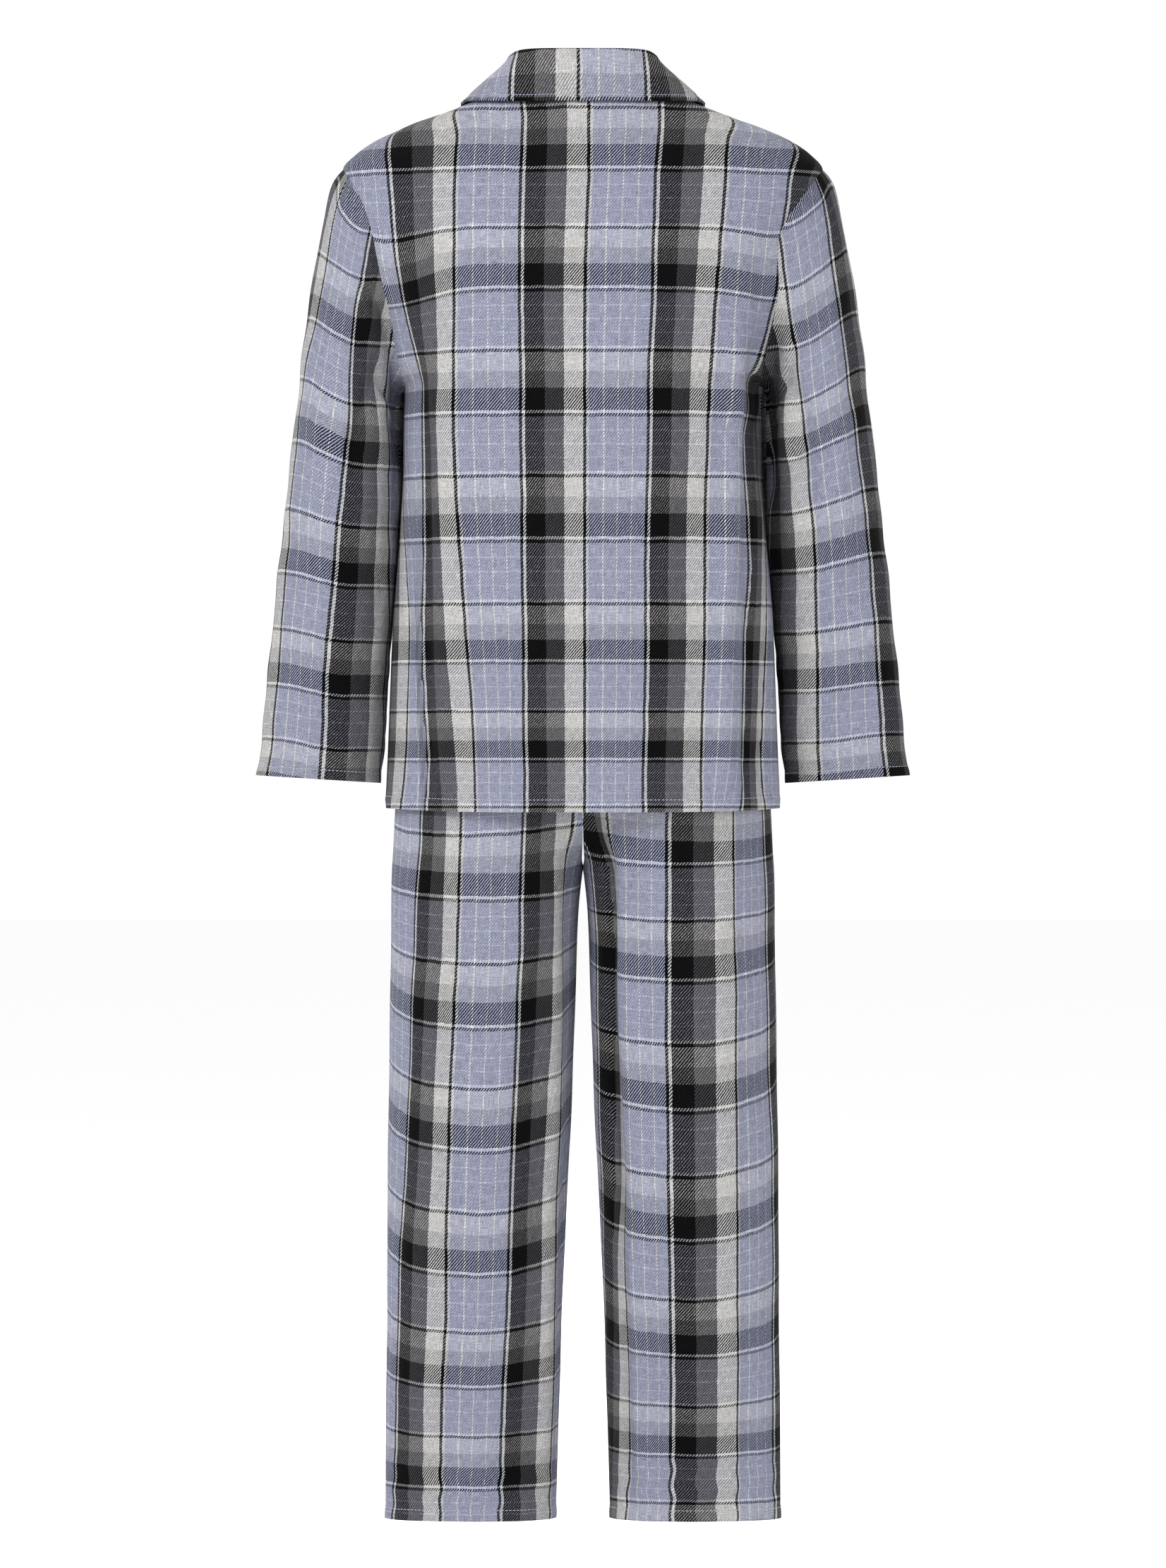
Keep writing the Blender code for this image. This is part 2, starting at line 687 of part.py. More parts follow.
def collar(flannel):
    """The stand up from the neck seam, the roll, and the fall out over the shoulders."""
    seam = np.concatenate(
        [neck_line(0, back_top_z, BACK), neck_line(-OVERLAP, front_top_z, FRONT)[-2::-1]]
    )
    run = distances(seam)
    positions = np.linspace(0, COLLAR[-1].along, HALF_COLLAR_FACES + 1)
    roll_up = smooth_curve(COLLAR, "along", "roll_up")(positions)
    edge_x = smooth_curve(COLLAR, "along", "edge_x")(positions)
    edge_y = smooth_curve(COLLAR, "along", "edge_y")(positions)
    edge_lift = smooth_curve(COLLAR, "along", "edge_lift")(positions)
    sections = []
    for position, up, x, y, lift in zip(positions, roll_up, edge_x, edge_y, edge_lift):
        base = np.array([np.interp(position, run, seam[:, i]) for i in range(3)])
        inward = unit(-base * np.array([1, 1, 0]))
        base = base + inward * (COLLAR_CLOTH + SEAM_GAP) + np.array([0, 0, SEAM_GAP])
        edge = on_torso(x, torso_top(x, y), BACK if y > 0 else FRONT, lift)
        roll = base + np.array([0, 0, up]) + inward * up * COLLAR_LEAN
        outward = unit((edge - roll) * np.array([1, 1, 0]))
        upright = np.array([0, 0, COLLAR_ROLL])
        over = roll + outward * COLLAR_ROLL - upright * ROLL_TOP
        swell = unit(outward + np.array([0, 0, BULGE_UP])) * FALL_BULGE
        sections.append(
            [
                base,
                (base + roll) / 2,
                roll - upright * STAND_END,
                roll + outward * COLLAR_ROLL * ROLL_TOP + upright * ROLL_RISE,
                over,
                over + (edge - over) / 3 + swell,
                over + (edge - over) * 2 / 3 + swell,
                edge,
            ]
        )
    half = np.array(sections)
    whole = np.concatenate([mirrored(half)[:0:-1], half])
    above_fall = np.zeros_like(whole)
    above_fall[:, -2:, 2] = 1
    return Panel("collar", whole, flannel, cloth=COLLAR_CLOTH).face(above_fall)


def lapel(name, side, shape, flannel):
    """The top of a front, turned back on itself so that its facing shows."""
    s = np.linspace(0, 1, LAPEL_FACES + 1)[:, None]
    t = np.linspace(0, 1, LAPEL_FACES)[None, :]
    fold_x = shape.gorge_x + (shape.fold_end_x - shape.gorge_x) * s
    fold_z = shape.gorge_z + (shape.fold_end_z - shape.gorge_z) * s
    edge_x = shape.tip_x + (shape.edge_end_x - shape.tip_x) * s
    edge_z = shape.tip_z + (shape.edge_end_z - shape.tip_z) * s
    x = fold_x + (edge_x - fold_x) * t
    z = fold_z + (edge_z - fold_z) * t
    lift = LAPEL_LIFT + LAPEL_ROLL * (1 - t) ** 2 * (1 - s * LAPEL_ROLL_FALLS)
    if side == LEFT:
        lift = lift + lap_lift(x)
        grid = on_torso(x, z, FRONT, lift)
    else:
        grid = mirrored(on_torso(np.abs(x), z, FRONT, lift))
    return Panel(name, grid, flannel).face((0, -1, 0))


hip_width = smooth_curve(HIPS, "z", "half_width")
hip_back = smooth_curve(HIPS, "z", "back")
hip_front = smooth_curve(HIPS, "z", "front")
hip_roundness = smooth_curve(HIPS, "z", "roundness")
leg_outer = smooth_curve(LEG, "z", "outer")
leg_inner = smooth_curve(LEG, "z", "inner")
leg_back = smooth_curve(LEG, "z", "back")
leg_front = smooth_curve(LEG, "z", "front")


def hip_row(z, side, fractions):
    """Half a hip section, from the side to the centre seam."""
    x = hip_width(z) * np.cos(np.linspace(0, math.pi / 2, FINE))
    reach = hip_back(z) if side == BACK else hip_front(z)
    y = side * superellipse(x, hip_width(z), reach, hip_roundness(z))
    return along(np.stack([x, y, np.full(FINE, z)], axis=1), fractions)


def leg_row(z, side, fractions):
    """Half a leg section, from the outside leg seam to the inside one."""
    turn = np.linspace(0, math.pi, FINE)
    power = 2 / LEG_ROUNDNESS
    across = np.sign(np.cos(turn)) * np.abs(np.cos(turn)) ** power
    reach = leg_back(z) if side == BACK else leg_front(z)
    middle = (leg_outer(z) + leg_inner(z)) / 2
    x = middle + across * (leg_outer(z) - leg_inner(z)) / 2
    y = side * reach * np.sin(turn) ** power
    return along(np.stack([x, y, np.full(FINE, z)], axis=1), fractions)


def trouser_row(z, turned_at_seam, side, fractions):
    """Half a trouser section, from the outside seam to the centre or inside one."""
    hip, leg = hip_row(z, side, fractions), leg_row(z, side, fractions)
    turned_elsewhere = ease((TURN_START_Z - z) / (TURN_START_Z - TURN_END_Z))
    near_seam = fractions**NEAR_SEAM_POWER
    turned = turned_elsewhere + (turned_at_seam - turned_elsewhere) * near_seam
    return hip + (leg - hip) * turned[:, None]


def leg_panel(name, side_x, side_y, folds, flannel):
    fractions = np.linspace(0, 1, LEG_FACES_ACROSS + 1)
    rows = []
    for point in CROTCH:
        row = trouser_row(point.z, point.turned, side_y, fractions)
        row[-1, 0] = 0
        rows.append(row)
    for z in np.linspace(CROTCH_Z, TROUSER_HEM_Z, LEG_FACES_DOWN + 1)[1:]:
        rows.append(trouser_row(z, 1, side_y, fractions))
    grid = np.array(rows)
    heights = fold_heights(grid, folds) * edge_fade(grid, ("top", "first", "last"))
    if side_x == RIGHT:
        grid = mirrored(grid)
    panel = Panel(name, grid, flannel, seams=("top", "first", "last")).face((0, side_y, 0))
    panel.fold(heights)
    return panel


def waistband(legs, flannel):
    """A ring over the tops of the four leg panels, as an elastic in its casing."""
    left_back, right_back, left_front, right_front = (panel.grid[0] for panel in legs)
    ring = np.concatenate(
        [left_back[:-1], right_back[:0:-1], right_front[:-1], left_front[:0:-1]]
    )
    top = ring.copy()
    top[:, 2] = WAISTBAND_TOP_Z
    top[:, 0] *= hip_width(WAISTBAND_TOP_Z) / hip_width(WAIST_Z)
    top[:, 1] *= hip_back(WAISTBAND_TOP_Z) / hip_back(WAIST_Z)
    grid = np.array([top, ring])
    made = Panel(
        "waistband", grid, flannel, wrapped=True, seams=("bottom",), cloth=WAISTBAND_CLOTH
    )
    return made.face_away_from_axis()


def button(name, z, plastic, collection):
    """A turned, dished button with four holes, flat against the left front."""
    mesh = bmesh.new()
    points = [mesh.verts.new((point.radius * MM, 0, point.height * MM)) for point in BUTTON]
    edges = [mesh.edges.new(pair) for pair in zip(points, points[1:])]
    bmesh.ops.spin(
        mesh,
        geom=points + edges,
        cent=(0, 0, 0),
        axis=(0, 0, 1),
        angle=2 * math.pi,
        steps=BUTTON_STEPS,
        use_merge=True,
    )
    bmesh.ops.holes_fill(mesh, edges=[edge for edge in mesh.edges if edge.is_boundary])
    bmesh.ops.recalc_face_normals(mesh, faces=mesh.faces)
    made = add_object(name, mesh, plastic, collection)
    for hole in range(BUTTON_HOLES):
        cutter = button_hole(name + "_hole_" + str(hole), (hole + 0.5) / BUTTON_HOLES * 2 * math.pi)
        cutter.parent = made
        cut = made.modifiers.new("hole", "BOOLEAN")
        cut.operation = "DIFFERENCE"
        cut.object = cutter
    middle, height = np.array(0.0), np.array(float(z))
    foot = on_torso(middle, height, FRONT, LAP_LIFT + SEAM_GAP)
    direction = on_torso(middle, height, FRONT, LAP_LIFT + SEAM_GAP + 1) - foot
    made.location = foot * MM
    made.rotation_euler = (math.pi / 2 - math.atan2(direction[2], -direction[1]), 0, 0)
    return made


def button_hole(name, angle):
    mesh = bmesh.new()
    bmesh.ops.create_cone(
        mesh,
        cap_ends=True,
        segments=BUTTON_HOLE_SIDES,
        radius1=BUTTON_HOLE_RADIUS * MM,
        radius2=BUTTON_HOLE_RADIUS * MM,
        depth=3 * BUTTON_HEIGHT * MM,
    )
    data = bpy.data.meshes.new(name)
    mesh.to_mesh(data)
    mesh.free()
    cutter = bpy.data.objects.new(name, data)
    reach = BUTTON_HOLE_REACH * MM
    cutter.location = (reach * math.cos(angle), reach * math.sin(angle), BUTTON_HEIGHT / 2 * MM)
    cutter.hide_render = True
    cutter.display_type = "WIRE"
    bpy.data.collections["cutters"].objects.link(cutter)
    return cutter


def material(name, colour, roughness):
    made = bpy.data.materials.new(name)
    made.use_nodes = True
    shader = made.node_tree.nodes["Principled BSDF"]
    shader.inputs["Base Color"].default_value = (*colour, 1)
    shader.inputs["Roughness"].default_value = roughness
    shader.inputs["Metallic"].default_value = 0
    return made


def new_collection(name):
    made = bpy.data.collections.new(name)
    bpy.context.scene.collection.children.link(made)
    return made


def main():
    for old in list(bpy.data.objects):
        bpy.data.objects.remove(old)
    pieces = new_collection("pyjama_set")
    new_collection("cutters")
    flannel = material("check flannel", (0.24, 0.25, 0.31), 0.95)
    plastic = material("button plastic", (0.62, 0.62, 0.6), 0.35)

    jacket = jacket_body(flannel)
    share_directions(jacket)
    jacket.append(sleeve("sleeve_left", LEFT, LEFT_SLEEVE_FOLDS, flannel))
    jacket.append(sleeve("sleeve_right", RIGHT, RIGHT_SLEEVE_FOLDS, flannel))
    share_directions(jacket)
    part_seams(jacket)

    legs = [
        leg_panel("trouser_back_left", LEFT, BACK, LEFT_LEG_FOLDS, flannel),
        leg_panel("trouser_back_right", RIGHT, BACK, RIGHT_LEG_FOLDS, flannel),
        leg_panel("trouser_front_left", LEFT, FRONT, RIGHT_LEG_FOLDS, flannel),
        leg_panel("trouser_front_right", RIGHT, FRONT, LEFT_LEG_FOLDS, flannel),
    ]
    share_directions(legs)
    belt = waistband(legs, flannel)
    part_seams([*legs, belt])
    for panel in legs:
        panel.grid[..., 0] += SEAM_GAP / 2 * np.sign(panel.grid[..., 0].sum())

    turned_back = [
        collar(flannel),
        lapel("lapel_left", LEFT, LEFT_LAPEL, flannel),
        lapel("lapel_right", RIGHT, RIGHT_LAPEL, flannel),
    ]
    for panel in [*jacket, *turned_back, *legs, belt]:
        add_object(panel.name, wall(panel), panel.material, pieces)
    for number, z in enumerate(BUTTON_Z, start=1):
        button("button_" + str(number), z, plastic, pieces)


main()
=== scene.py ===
"""The looks of a child's flannel pyjama set: jacket over matching trousers, filled out as if worn.

Each piece of cloth is a thin wall on its solid's form, with finer folds, hems and topstitching. The
woven check is made in the material from each point's place on the flat cloth, which every piece
carries as its map "Cloth". Tables and named sizes are in millimetres, as seen from behind unless
they say otherwise: +X is the wearer's left, and the back is on +Y.
"""

import math
from collections import namedtuple
from types import SimpleNamespace

import bpy
import numpy as np
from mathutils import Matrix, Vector


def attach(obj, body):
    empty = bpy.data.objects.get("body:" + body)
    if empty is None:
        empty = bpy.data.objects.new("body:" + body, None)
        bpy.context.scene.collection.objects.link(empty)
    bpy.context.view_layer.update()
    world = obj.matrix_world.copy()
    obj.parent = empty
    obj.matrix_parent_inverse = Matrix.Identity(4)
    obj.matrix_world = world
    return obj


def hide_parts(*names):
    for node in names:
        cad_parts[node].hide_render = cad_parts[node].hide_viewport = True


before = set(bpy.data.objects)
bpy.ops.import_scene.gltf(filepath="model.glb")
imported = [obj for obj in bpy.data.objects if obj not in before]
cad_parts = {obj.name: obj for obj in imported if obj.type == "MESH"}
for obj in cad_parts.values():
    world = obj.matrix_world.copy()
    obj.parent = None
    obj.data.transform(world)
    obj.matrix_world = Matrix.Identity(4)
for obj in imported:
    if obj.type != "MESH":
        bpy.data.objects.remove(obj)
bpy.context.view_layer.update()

MM = 0.001
TINY = 1e-12
LEFT, RIGHT = 1, -1
BACK, FRONT = 1, -1
SIDE_NAMES = {LEFT: "left", RIGHT: "right"}
FACE_NAMES = {BACK: "back", FRONT: "front"}

# The cloth's thickness, and how pieces part and meet at their seams.
CLOTH = 1.3
COLLAR_CLOTH = 1.8
WAISTBAND_CLOTH = 2.6
SEAM_GAP = 0.12
MOST_MITRE = 0.6
FULL_CREASE = 0.3
SHARP_DEGREES = 50
SAME_POINT_DIGITS = 3

# How many faces each piece has, across and down.
NECK_FACES = 20
SHOULDER_FACES = 42
ARMHOLE_FACES = 56
BODY_FACES = 94
SLEEVE_FACES = 120
HALF_COLLAR_FACES = 60
COLLAR_FACES_ACROSS = 34
LAPEL_FACES = 30
LEG_FACES_ACROSS = 72
HIP_FACES_DOWN = 76
LEG_FACES_DOWN = 145
WAISTBAND_FACES_DOWN = 12
# Points on the fine lines that rows are stepped along, and levels searched for a height.
FINE = 800
LEVELS = 1200


def table(columns, *rows):
    """Rows of numbers whose columns have names."""
    row = namedtuple("Row", columns)
    return [row(*values) for values in rows]


# The torso's form: level sections are superellipses, so the back is flat and the sides round.
# half_width above the shoulder tip is the shoulder line, as seen from behind.
SECTION = "z half_width back front roundness"
TORSO = table(
    SECTION,
    (12, 62, 47, 38, 2.3), (4, 82, 50.5, 44, 2.3), (-2.5, 98, 53, 47, 2.3),
    (-5.5, 105, 55, 49, 2.3), (-16, 136, 61, 55, 2.3), (-27.5, 162, 69, 62, 2.3),
    (-38, 177, 75, 68, 2.3), (-50, 187, 80, 73, 2.3), (-80, 187, 89, 83, 2.3),
    (-110, 182, 95, 91, 2.34), (-138, 178, 99, 97, 2.4), (-168, 166, 101, 100, 2.55),
    (-192, 154.5, 102, 102, 2.7), (-210, 145, 102, 103, 2.82), (-222, 139.5, 101.5, 103, 2.88),
    (-280, 140, 99, 102, 2.8), (-335, 143, 97.5, 100, 2.7), (-407, 148, 96.5, 99, 2.6),
    (-467, 150.7, 96.5, 99, 2.55), (-510, 152.4, 97.3, 99.5, 2.5), (-540, 153.5, 98, 100, 2.5),
    (-550, 152.8, 97.5, 99.5, 2.5),
)
NECK_HALF_WIDTH = 62
NECK_POINT_Z = 12
BACK_NECK_Z = 10
SHOULDER_TIP_X = 187
SHOULDER_TIP_Z = -50
UNDERARM_Z = -222
JACKET_HEM_Z = -550
HEM_RISE_AT_SIDES = 3
HEM_CURVE = 4
# How soon the rows under the shoulder line lie level, as a power of the fall of the armhole.
ROW_LEVELLING = 0.8
# How far apart the form is probed for its own direction.
PROBE = 0.2

# The armhole seam, as seen from behind.
ARMHOLE = table(
    "z x",
    (-50, 187), (-71.5, 174), (-97.5, 164.5), (-139.5, 156.8),
    (-159.5, 152.4), (-192.5, 146.3), (-208, 142.5), (-222, 139.5),
)

# The fronts: the left one laps over the right by twice the overlap, lifted clear of it.
OVERLAP = 17
NECK_DROP_Z = -84
LAP_LIFT = 2.4
LAP_EASE_START = 20
LAP_EASE = 30

# Rings of the left sleeve: its outer and inner lines seen from behind, half its depth, and how far
# its middle has come forward. The armhole is the ring before the first.
SLEEVE = table(
    "outer_x outer_z inner_x inner_z half_depth forward",
    (193.5, -71.5, 141.8, -226, 54, 0), (203.5, -101, 142.2, -234, 57, 0),
    (210.5, -134, 142.6, -246, 60, 1), (217, -181, 143, -266, 61, 2),
    (223, -232, 144, -296, 59, 4), (229, -284, 145.4, -334, 54, 6),
    (235.2, -340, 148, -378, 48, 8), (241.2, -395, 150.6, -420, 42, 10),
    (246.6, -448, 152.6, -464, 37, 12), (251, -492, 155.4, -500, 33, 14),
    (254.5, -521.5, 158.2, -527.5, 31, 15),
)
SLEEVE_ROUNDNESS = 2.2
# The rings over which the armhole's shape turns into the sleeve's own, and the row it ends at.
CAP_RINGS = 4
CAP_END_ROW = 40
OUTER_CLOTH_REACH = 40

# Half the collar, by distance along the neck seam from the centre back: how far the roll stands
# above the seam, and over which point of the torso the fall's edge lies.
COLLAR = table(
    "along roll_up edge_x edge_y edge_lift",
    (0, 30, 0, 53.5, 4.4), (30, 29.7, 35, 51, 4.2), (55, 28.7, 63, 43.5, 4),
    (78, 25, 82, 30, 3.4), (92, 20.5, 91, 12.5, 3.8), (106, 16.5, 94, -8, 3.8),
    (120, 12.5, 94, -27, 3.6), (134, 9.5, 90, -42, 3), (146, 7.5, 82, -53.8, 2.8),
)
COLLAR_LEAN = 0.2
# The collar's section, as shares of the roll's width: where the stand ends, the top of the roll,
# and where the fall begins.
COLLAR_ROLL = 7.0
STAND_END = 0.4
ROLL_TOP = 0.45
ROLL_RISE = 0.15
FALL_BULGE = 1.5
BULGE_UP = 0.6

# Each lapel: the fold from the gorge to the break, and the free edge from the tip to the break.
LEFT_LAPEL, RIGHT_LAPEL = table(
    "gorge_x gorge_z tip_x tip_z fold_end_x fold_end_z edge_end_x edge_end_z",
    (47.5, -5.6, 83, -41, -9, -74.3, -12, -80),
    (47.5, -5.6, 83, -41, 4, -58.5, 7, -65),
)
LAPEL_LIFT = 2.0
LAPEL_ROLL = 2.2
LAPEL_ROLL_FALLS = 0.8

# Trousers: hips as torso sections, then each leg by its outer and inner lines and depths.
HIPS = table(
    SECTION,
    (-345, 104, 78, 76, 2.1), (-375, 106, 79, 77, 2.1), (-400, 118, 84, 82, 2.1),
    (-440, 132, 90, 88, 2.1), (-480, 140, 94, 92.5, 2.15), (-505, 143.5, 95.3, 94, 2.15),
    (-530, 145.5, 94.5, 94.5, 2.15), (-555, 146.9, 93, 93.5, 2.15), (-592, 148.3, 90, 91, 2.15),
)
LEG = table(
    "z outer inner back front",
    (-505, 143.5, 0, 85, 84.5), (-592, 148.3, 0, 81, 80), (-600, 148.6, 0.9, 80.5, 79.5),
    (-621, 149, 2.75, 79, 77.5), (-687, 150.4, 5.5, 74, 71.5), (-753, 151.3, 8, 68.5, 65.5),
    (-852, 152.4, 12.1, 60, 57), (-951, 153.2, 16.5, 52, 49), (-1050, 154, 19.3, 45, 43),
    (-1099, 153.6, 20.6, 43, 41),
)
LEG_ROUNDNESS = 2.3
# How far each level has turned from half a hip into a leg: this draws the crotch seam.
CROTCH = table(
    "z turned",
    (-375, 0), (-400, 0), (-430, 0), (-462, 0), (-490, 0), (-515, 0.03), (-537, 0.1),
    (-556, 0.23), (-571, 0.42), (-582, 0.64), (-589, 0.85), (-592, 1),
)
# Away from that seam the hips turn into the legs over a longer run, so that no crease shows.
TURN_START_Z = -430
TURN_END_Z = -700
NEAR_SEAM_POWER = 5
WAIST_Z = -375
WAISTBAND_TOP_Z = -345
CROTCH_Z = -592
TROUSER_HEM_Z = -1099

# Hems, seams and stitching.
SEAM_FADE = 14
SIDE_SEAM_DIP = 1.1
LEG_SEAM_DIP = 1.1
ARMHOLE_FADE = 6
SEAM_DIP_WIDTH = 3.5
HEM_RISE = 0.7
HEM_STEP = 2.5
STITCH_PULL = 0.55
STITCH_PULL_WIDTH = 1.6
JACKET_HEM_STITCH = 9.5
SLEEVE_HEM_STITCH = 7.5
TROUSER_HEM_STITCH = 8.5
COLLAR_STITCH = 5
FACING_WIDTH = 34
# Small uneven waves along the jacket's hem: a second wave, this much longer, weakens the first.
PUCKER_WAVE = 19
PUCKER_HEIGHT = 0.35
PUCKER_START = 0.4
PUCKER_REACH = 6
PUCKER_STRETCH = 2.7
PUCKER_STEADY = 0.55
GATHER_DEPTH = 2.2
GATHERS = 46

# The folds. Each is a soft ridge (plus) or trough (minus) along a line of points. Its height eases
# in and out over the fade at each end, and its two sides may be unlike, as where cloth leans over.
# On the body and legs the lines are x, z seen from behind (the left leg's own x). On the sleeves
# they are round the sleeve from its outer line, back first, and down it.
FOLD = "height spread lean fade line"
BACK_FOLDS = table(
    FOLD,
    (-6.5, 8, 0.1, 60, [(141, -150), (131, -200), (125, -260), (123.5, -400), (120, -560)]),
    (4.5, 9, 0, 70, [(112, -190), (107, -280), (105, -400), (104, -560)]),
    (-2.0, 10, 0, 60, [(88, -300), (90, -420), (92, -560)]),
    (-8, 8, -0.1, 50, [(-140, -165), (-133, -205), (-131, -270), (-131, -400), (-128, -560)]),
    (5, 9, 0, 60, [(-124, -170), (-119, -230), (-114, -330), (-110, -420), (-110, -560)]),
    (-1.6, 12, 0, 60, [(-88, -280), (-90, -420), (-92, -560)]),
)
FRONT_FOLDS = table(
    FOLD,
    (-4, 12, 0.1, 60, [(134, -170), (124, -260), (121, -400), (120, -560)]),
    (3.2, 13, 0, 70, [(104, -200), (99, -330), (98, -560)]),
    (-2, 14, 0, 60, [(74, -300), (72, -420), (76, -560)]),
)
SLEEVE_FOLDS = {
    LEFT: table(
        FOLD,
        (-5, 9, 0.2, 50, [(118, -10), (108, -70), (96, -150), (92, -210)]),
        (3, 12, 0, 60, [(70, -40), (64, -140), (62, -300)]),
        (-4, 12, 0, 50, [(-112, -20), (-104, -110), (-96, -200)]),
    ),
    RIGHT: table(
        FOLD,
        (-5.5, 9, 0.2, 50, [(120, -10), (108, -80), (98, -160), (92, -240)]),
        (3, 12, 0, 60, [(72, -40), (66, -150), (62, -320)]),
        (-4, 12, 0, 50, [(-112, -20), (-104, -110), (-96, -200)]),
    ),
}
# Folds at the armpits, behind: the sleeve's own x, and z.
ARMPIT_FOLDS = {
    LEFT: table(
        FOLD,
        (-5, 5, 0, 12, [(176, -132), (166, -144), (156, -162), (151, -180)]),
        (3, 6, 0, 12, [(172, -98), (163, -118), (158, -140)]),
        (-7, 6, 0, 40, [(152, -160), (146, -190), (141, -235), (142, -290)]),
        (2.5, 8, 0, 30, [(172, -150), (165, -200), (160, -260)]),
    ),
    RIGHT: table(
        FOLD,
        (-6, 7, 0, 40, [(151, -150), (146, -190), (142, -235), (143, -290), (146, -330)]),
        (3, 9, 0, 30, [(172, -130), (165, -180), (161, -240), (162, -300)]),
    ),
}
# A leg's folds behind. Its front has the other leg's.
LEG_FOLDS = {
    LEFT: table(
        FOLD,
        (1.5, 6, 0, 80, [(19, -560), (20, -700), (20, -800), (26, -1000), (28, -1110)]),
        (-3.5, 6, 0, 60, [(9, -560), (10, -700), (11, -800), (16, -1000), (18, -1110)]),
        (3.2, 12, 0, 80, [(122, -560), (124, -800), (128, -1110)]),
        (-3, 13, 0, 80, [(98, -600), (99, -850), (102, -1110)]),
        (-3, 11, 0, 80, [(30, -620), (38, -800), (46, -1110)]),
    ),
    RIGHT: table(
        FOLD,
        (-4.5, 4, 0.1, 60, [(17, -540), (20, -640), (22, -720), (27, -820), (32, -940), (36, -1110)]),
        (-3.5, 5, 0, 80, [(17, -540), (20, -640), (22, -720), (27, -820), (29, -900)]),
        (-3, 12, 0, 80, [(124, -560), (126, -800), (128, -1110)]),
        (3.2, 12, 0, 80, [(30, -600), (40, -800), (50, -1110)]),
        (-2.6, 13, 0, 80, [(60, -620), (66, -1110)]),
    ),
}
LEG_FOLDS_FROM_Z = -556
LEG_FOLDS_EASE = 40
# Where the cloth of the back and sleeves is drawn aside at once: round a place seen from behind,
# this wide and high, and this far across and out.
BACK_PUSHES = table(
    "x z width height across out",
    (-160, -108, 24, 36, 11, 4), (-143, -185, 14, 50, 4, -9), (150, -168, 12, 55, -2, -7),
)
PUSH_EASE = 14
# The sleeve's inside lies on the body between these levels, in front of this depth.
REST_GAP = 0.9
REST_REACH = 14
REST_TOP_Z = -208
REST_TOP_EASE = 12
REST_END_Z = -440
REST_END_EASE = 60
REST_BACK_Y = 4
REST_BACK_EASE = 20
# Broad, shallow waves of cloth that hangs: their lengths across and down, and their heights.
WAVE = "across down height start"
BODY_WAVES = table(WAVE, (61, 900, 0.35, 0.4), (-97, 410, 0.5, 1.9), (160, -230, 0.5, 3.1))
SLEEVE_WAVES = table(WAVE, (110, 60, 0.3, 0.4), (-90, 97, 0.35, 1.3), (300, 43, 0.2, 2.1))
LEG_WAVES = table(WAVE, (52, 700, 0.4, 0.4), (-84, 260, 0.5, 1.9), (120, 95, 0.35, 3.1))

# The woven check: one repeat across (warp stripes) and one repeat down (weft stripes).
WARP_REPEAT = 107.6
WEFT_REPEAT = 94.7

# Where the warp stripes lie on a piece. Each row gives, at one level, how far along the cloth each
# of the check's named places lies. PLACES says where those places are on the flat cloth, from the
# left edge of a white pair. Levels are heights, or on a sleeve shares of its length.
BACK_PLACES = (-160.7, -142, -107.6, -53.1, 0, 54.5, 107.6, 162.1, 215.2, 220.2, 253.2, 269.7)
BACK_STRIPES = table(
    "level a fold b c d e f g h pair ivory i",
    (12, -214, -196, -163, -111, -52, 3, 59, 127, 178, 183, 216, 232),
    (-20, -208, -192, -160, -101, -48, 3, 58, 113, 168, 173, 206, 222),
    (-55, -206, -189, -157, -102, -49, 3, 55, 110, 165, 170, 203, 219),
    (-110, -203, -186, -154, -102, -50, 1, 53, 105, 160, 165, 198, 214),
    (-160, -199, -180, -147, -102, -50, 0, 52, 101, 159, 164, 197, 213),
    (-215, -192, -175, -144, -103, -49, 0, 49, 98, 163, 168, 200, 216),
    (-232, -190, -173, -144, -103, -49, 0, 49, 97, 162, 167, 198, 214),
    (-262, -187, -169, -142.5, -102, -49, 0, 49, 96, 146, 151, 183, 198),
    (-310, -174, -158, -141, -100, -48, 0, 48, 94, 148, 153, 178, 190),
    (-360, -156, -147, -138.5, -97, -48, 0, 47, 94, 146.5, 151.5, 164, 172),
    (-414, -147.5, -141, -137.5, -93, -47, 0, 47, 94, 138, 143, 156, 162),
    (-480, -149, -137.5, -133.5, -87, -47, 0, 46, 92, 134.5, 139.5, 150, 153.5),
    (-525, -153, -134.5, -130, -85, -46, 0, 45, 91, 130, 135, 146.5, 150),
    (-552, -158, -133, -128.5, -84, -46, 0, 45, 91, 123, 128, 143.5, 152),
)
SLEEVE_PLACES = {LEFT: (-53.1, 0, 54.5), RIGHT: (160.7, 107.6, 54.5)}
SLEEVE_STRIPES = {
    LEFT: table(
        "level a b c",
        (0, 50, 88, 120), (0.1, 48, 82, 121), (0.2, 39, 84, 128), (0.3, 28, 88, 136),
        (0.4, 26, 83, 135), (0.5, 26, 77, 130), (0.6, 27, 73, 127), (0.7, 26, 68, 125),
        (0.8, 25, 65, 121), (1, 21, 64, 119),
    ),
    RIGHT: table(
        "level a b c",
        (0, 6, 59, 106), (0.1, 7, 59, 101), (0.2, 6, 57, 104), (0.3, 1, 57, 104),
        (0.4, -3, 51, 100), (0.5, -6, 46, 93), (0.6, -10, 42, 90), (0.8, -14, 38, 87),
        (1, -16, 36, 88),
    ),
}
LEG_PLACES = {LEFT: (0, 54.5, 107.6, 162.1, 215.2), RIGHT: (107.6, 54.5, 0, -53.1, -86.1)}
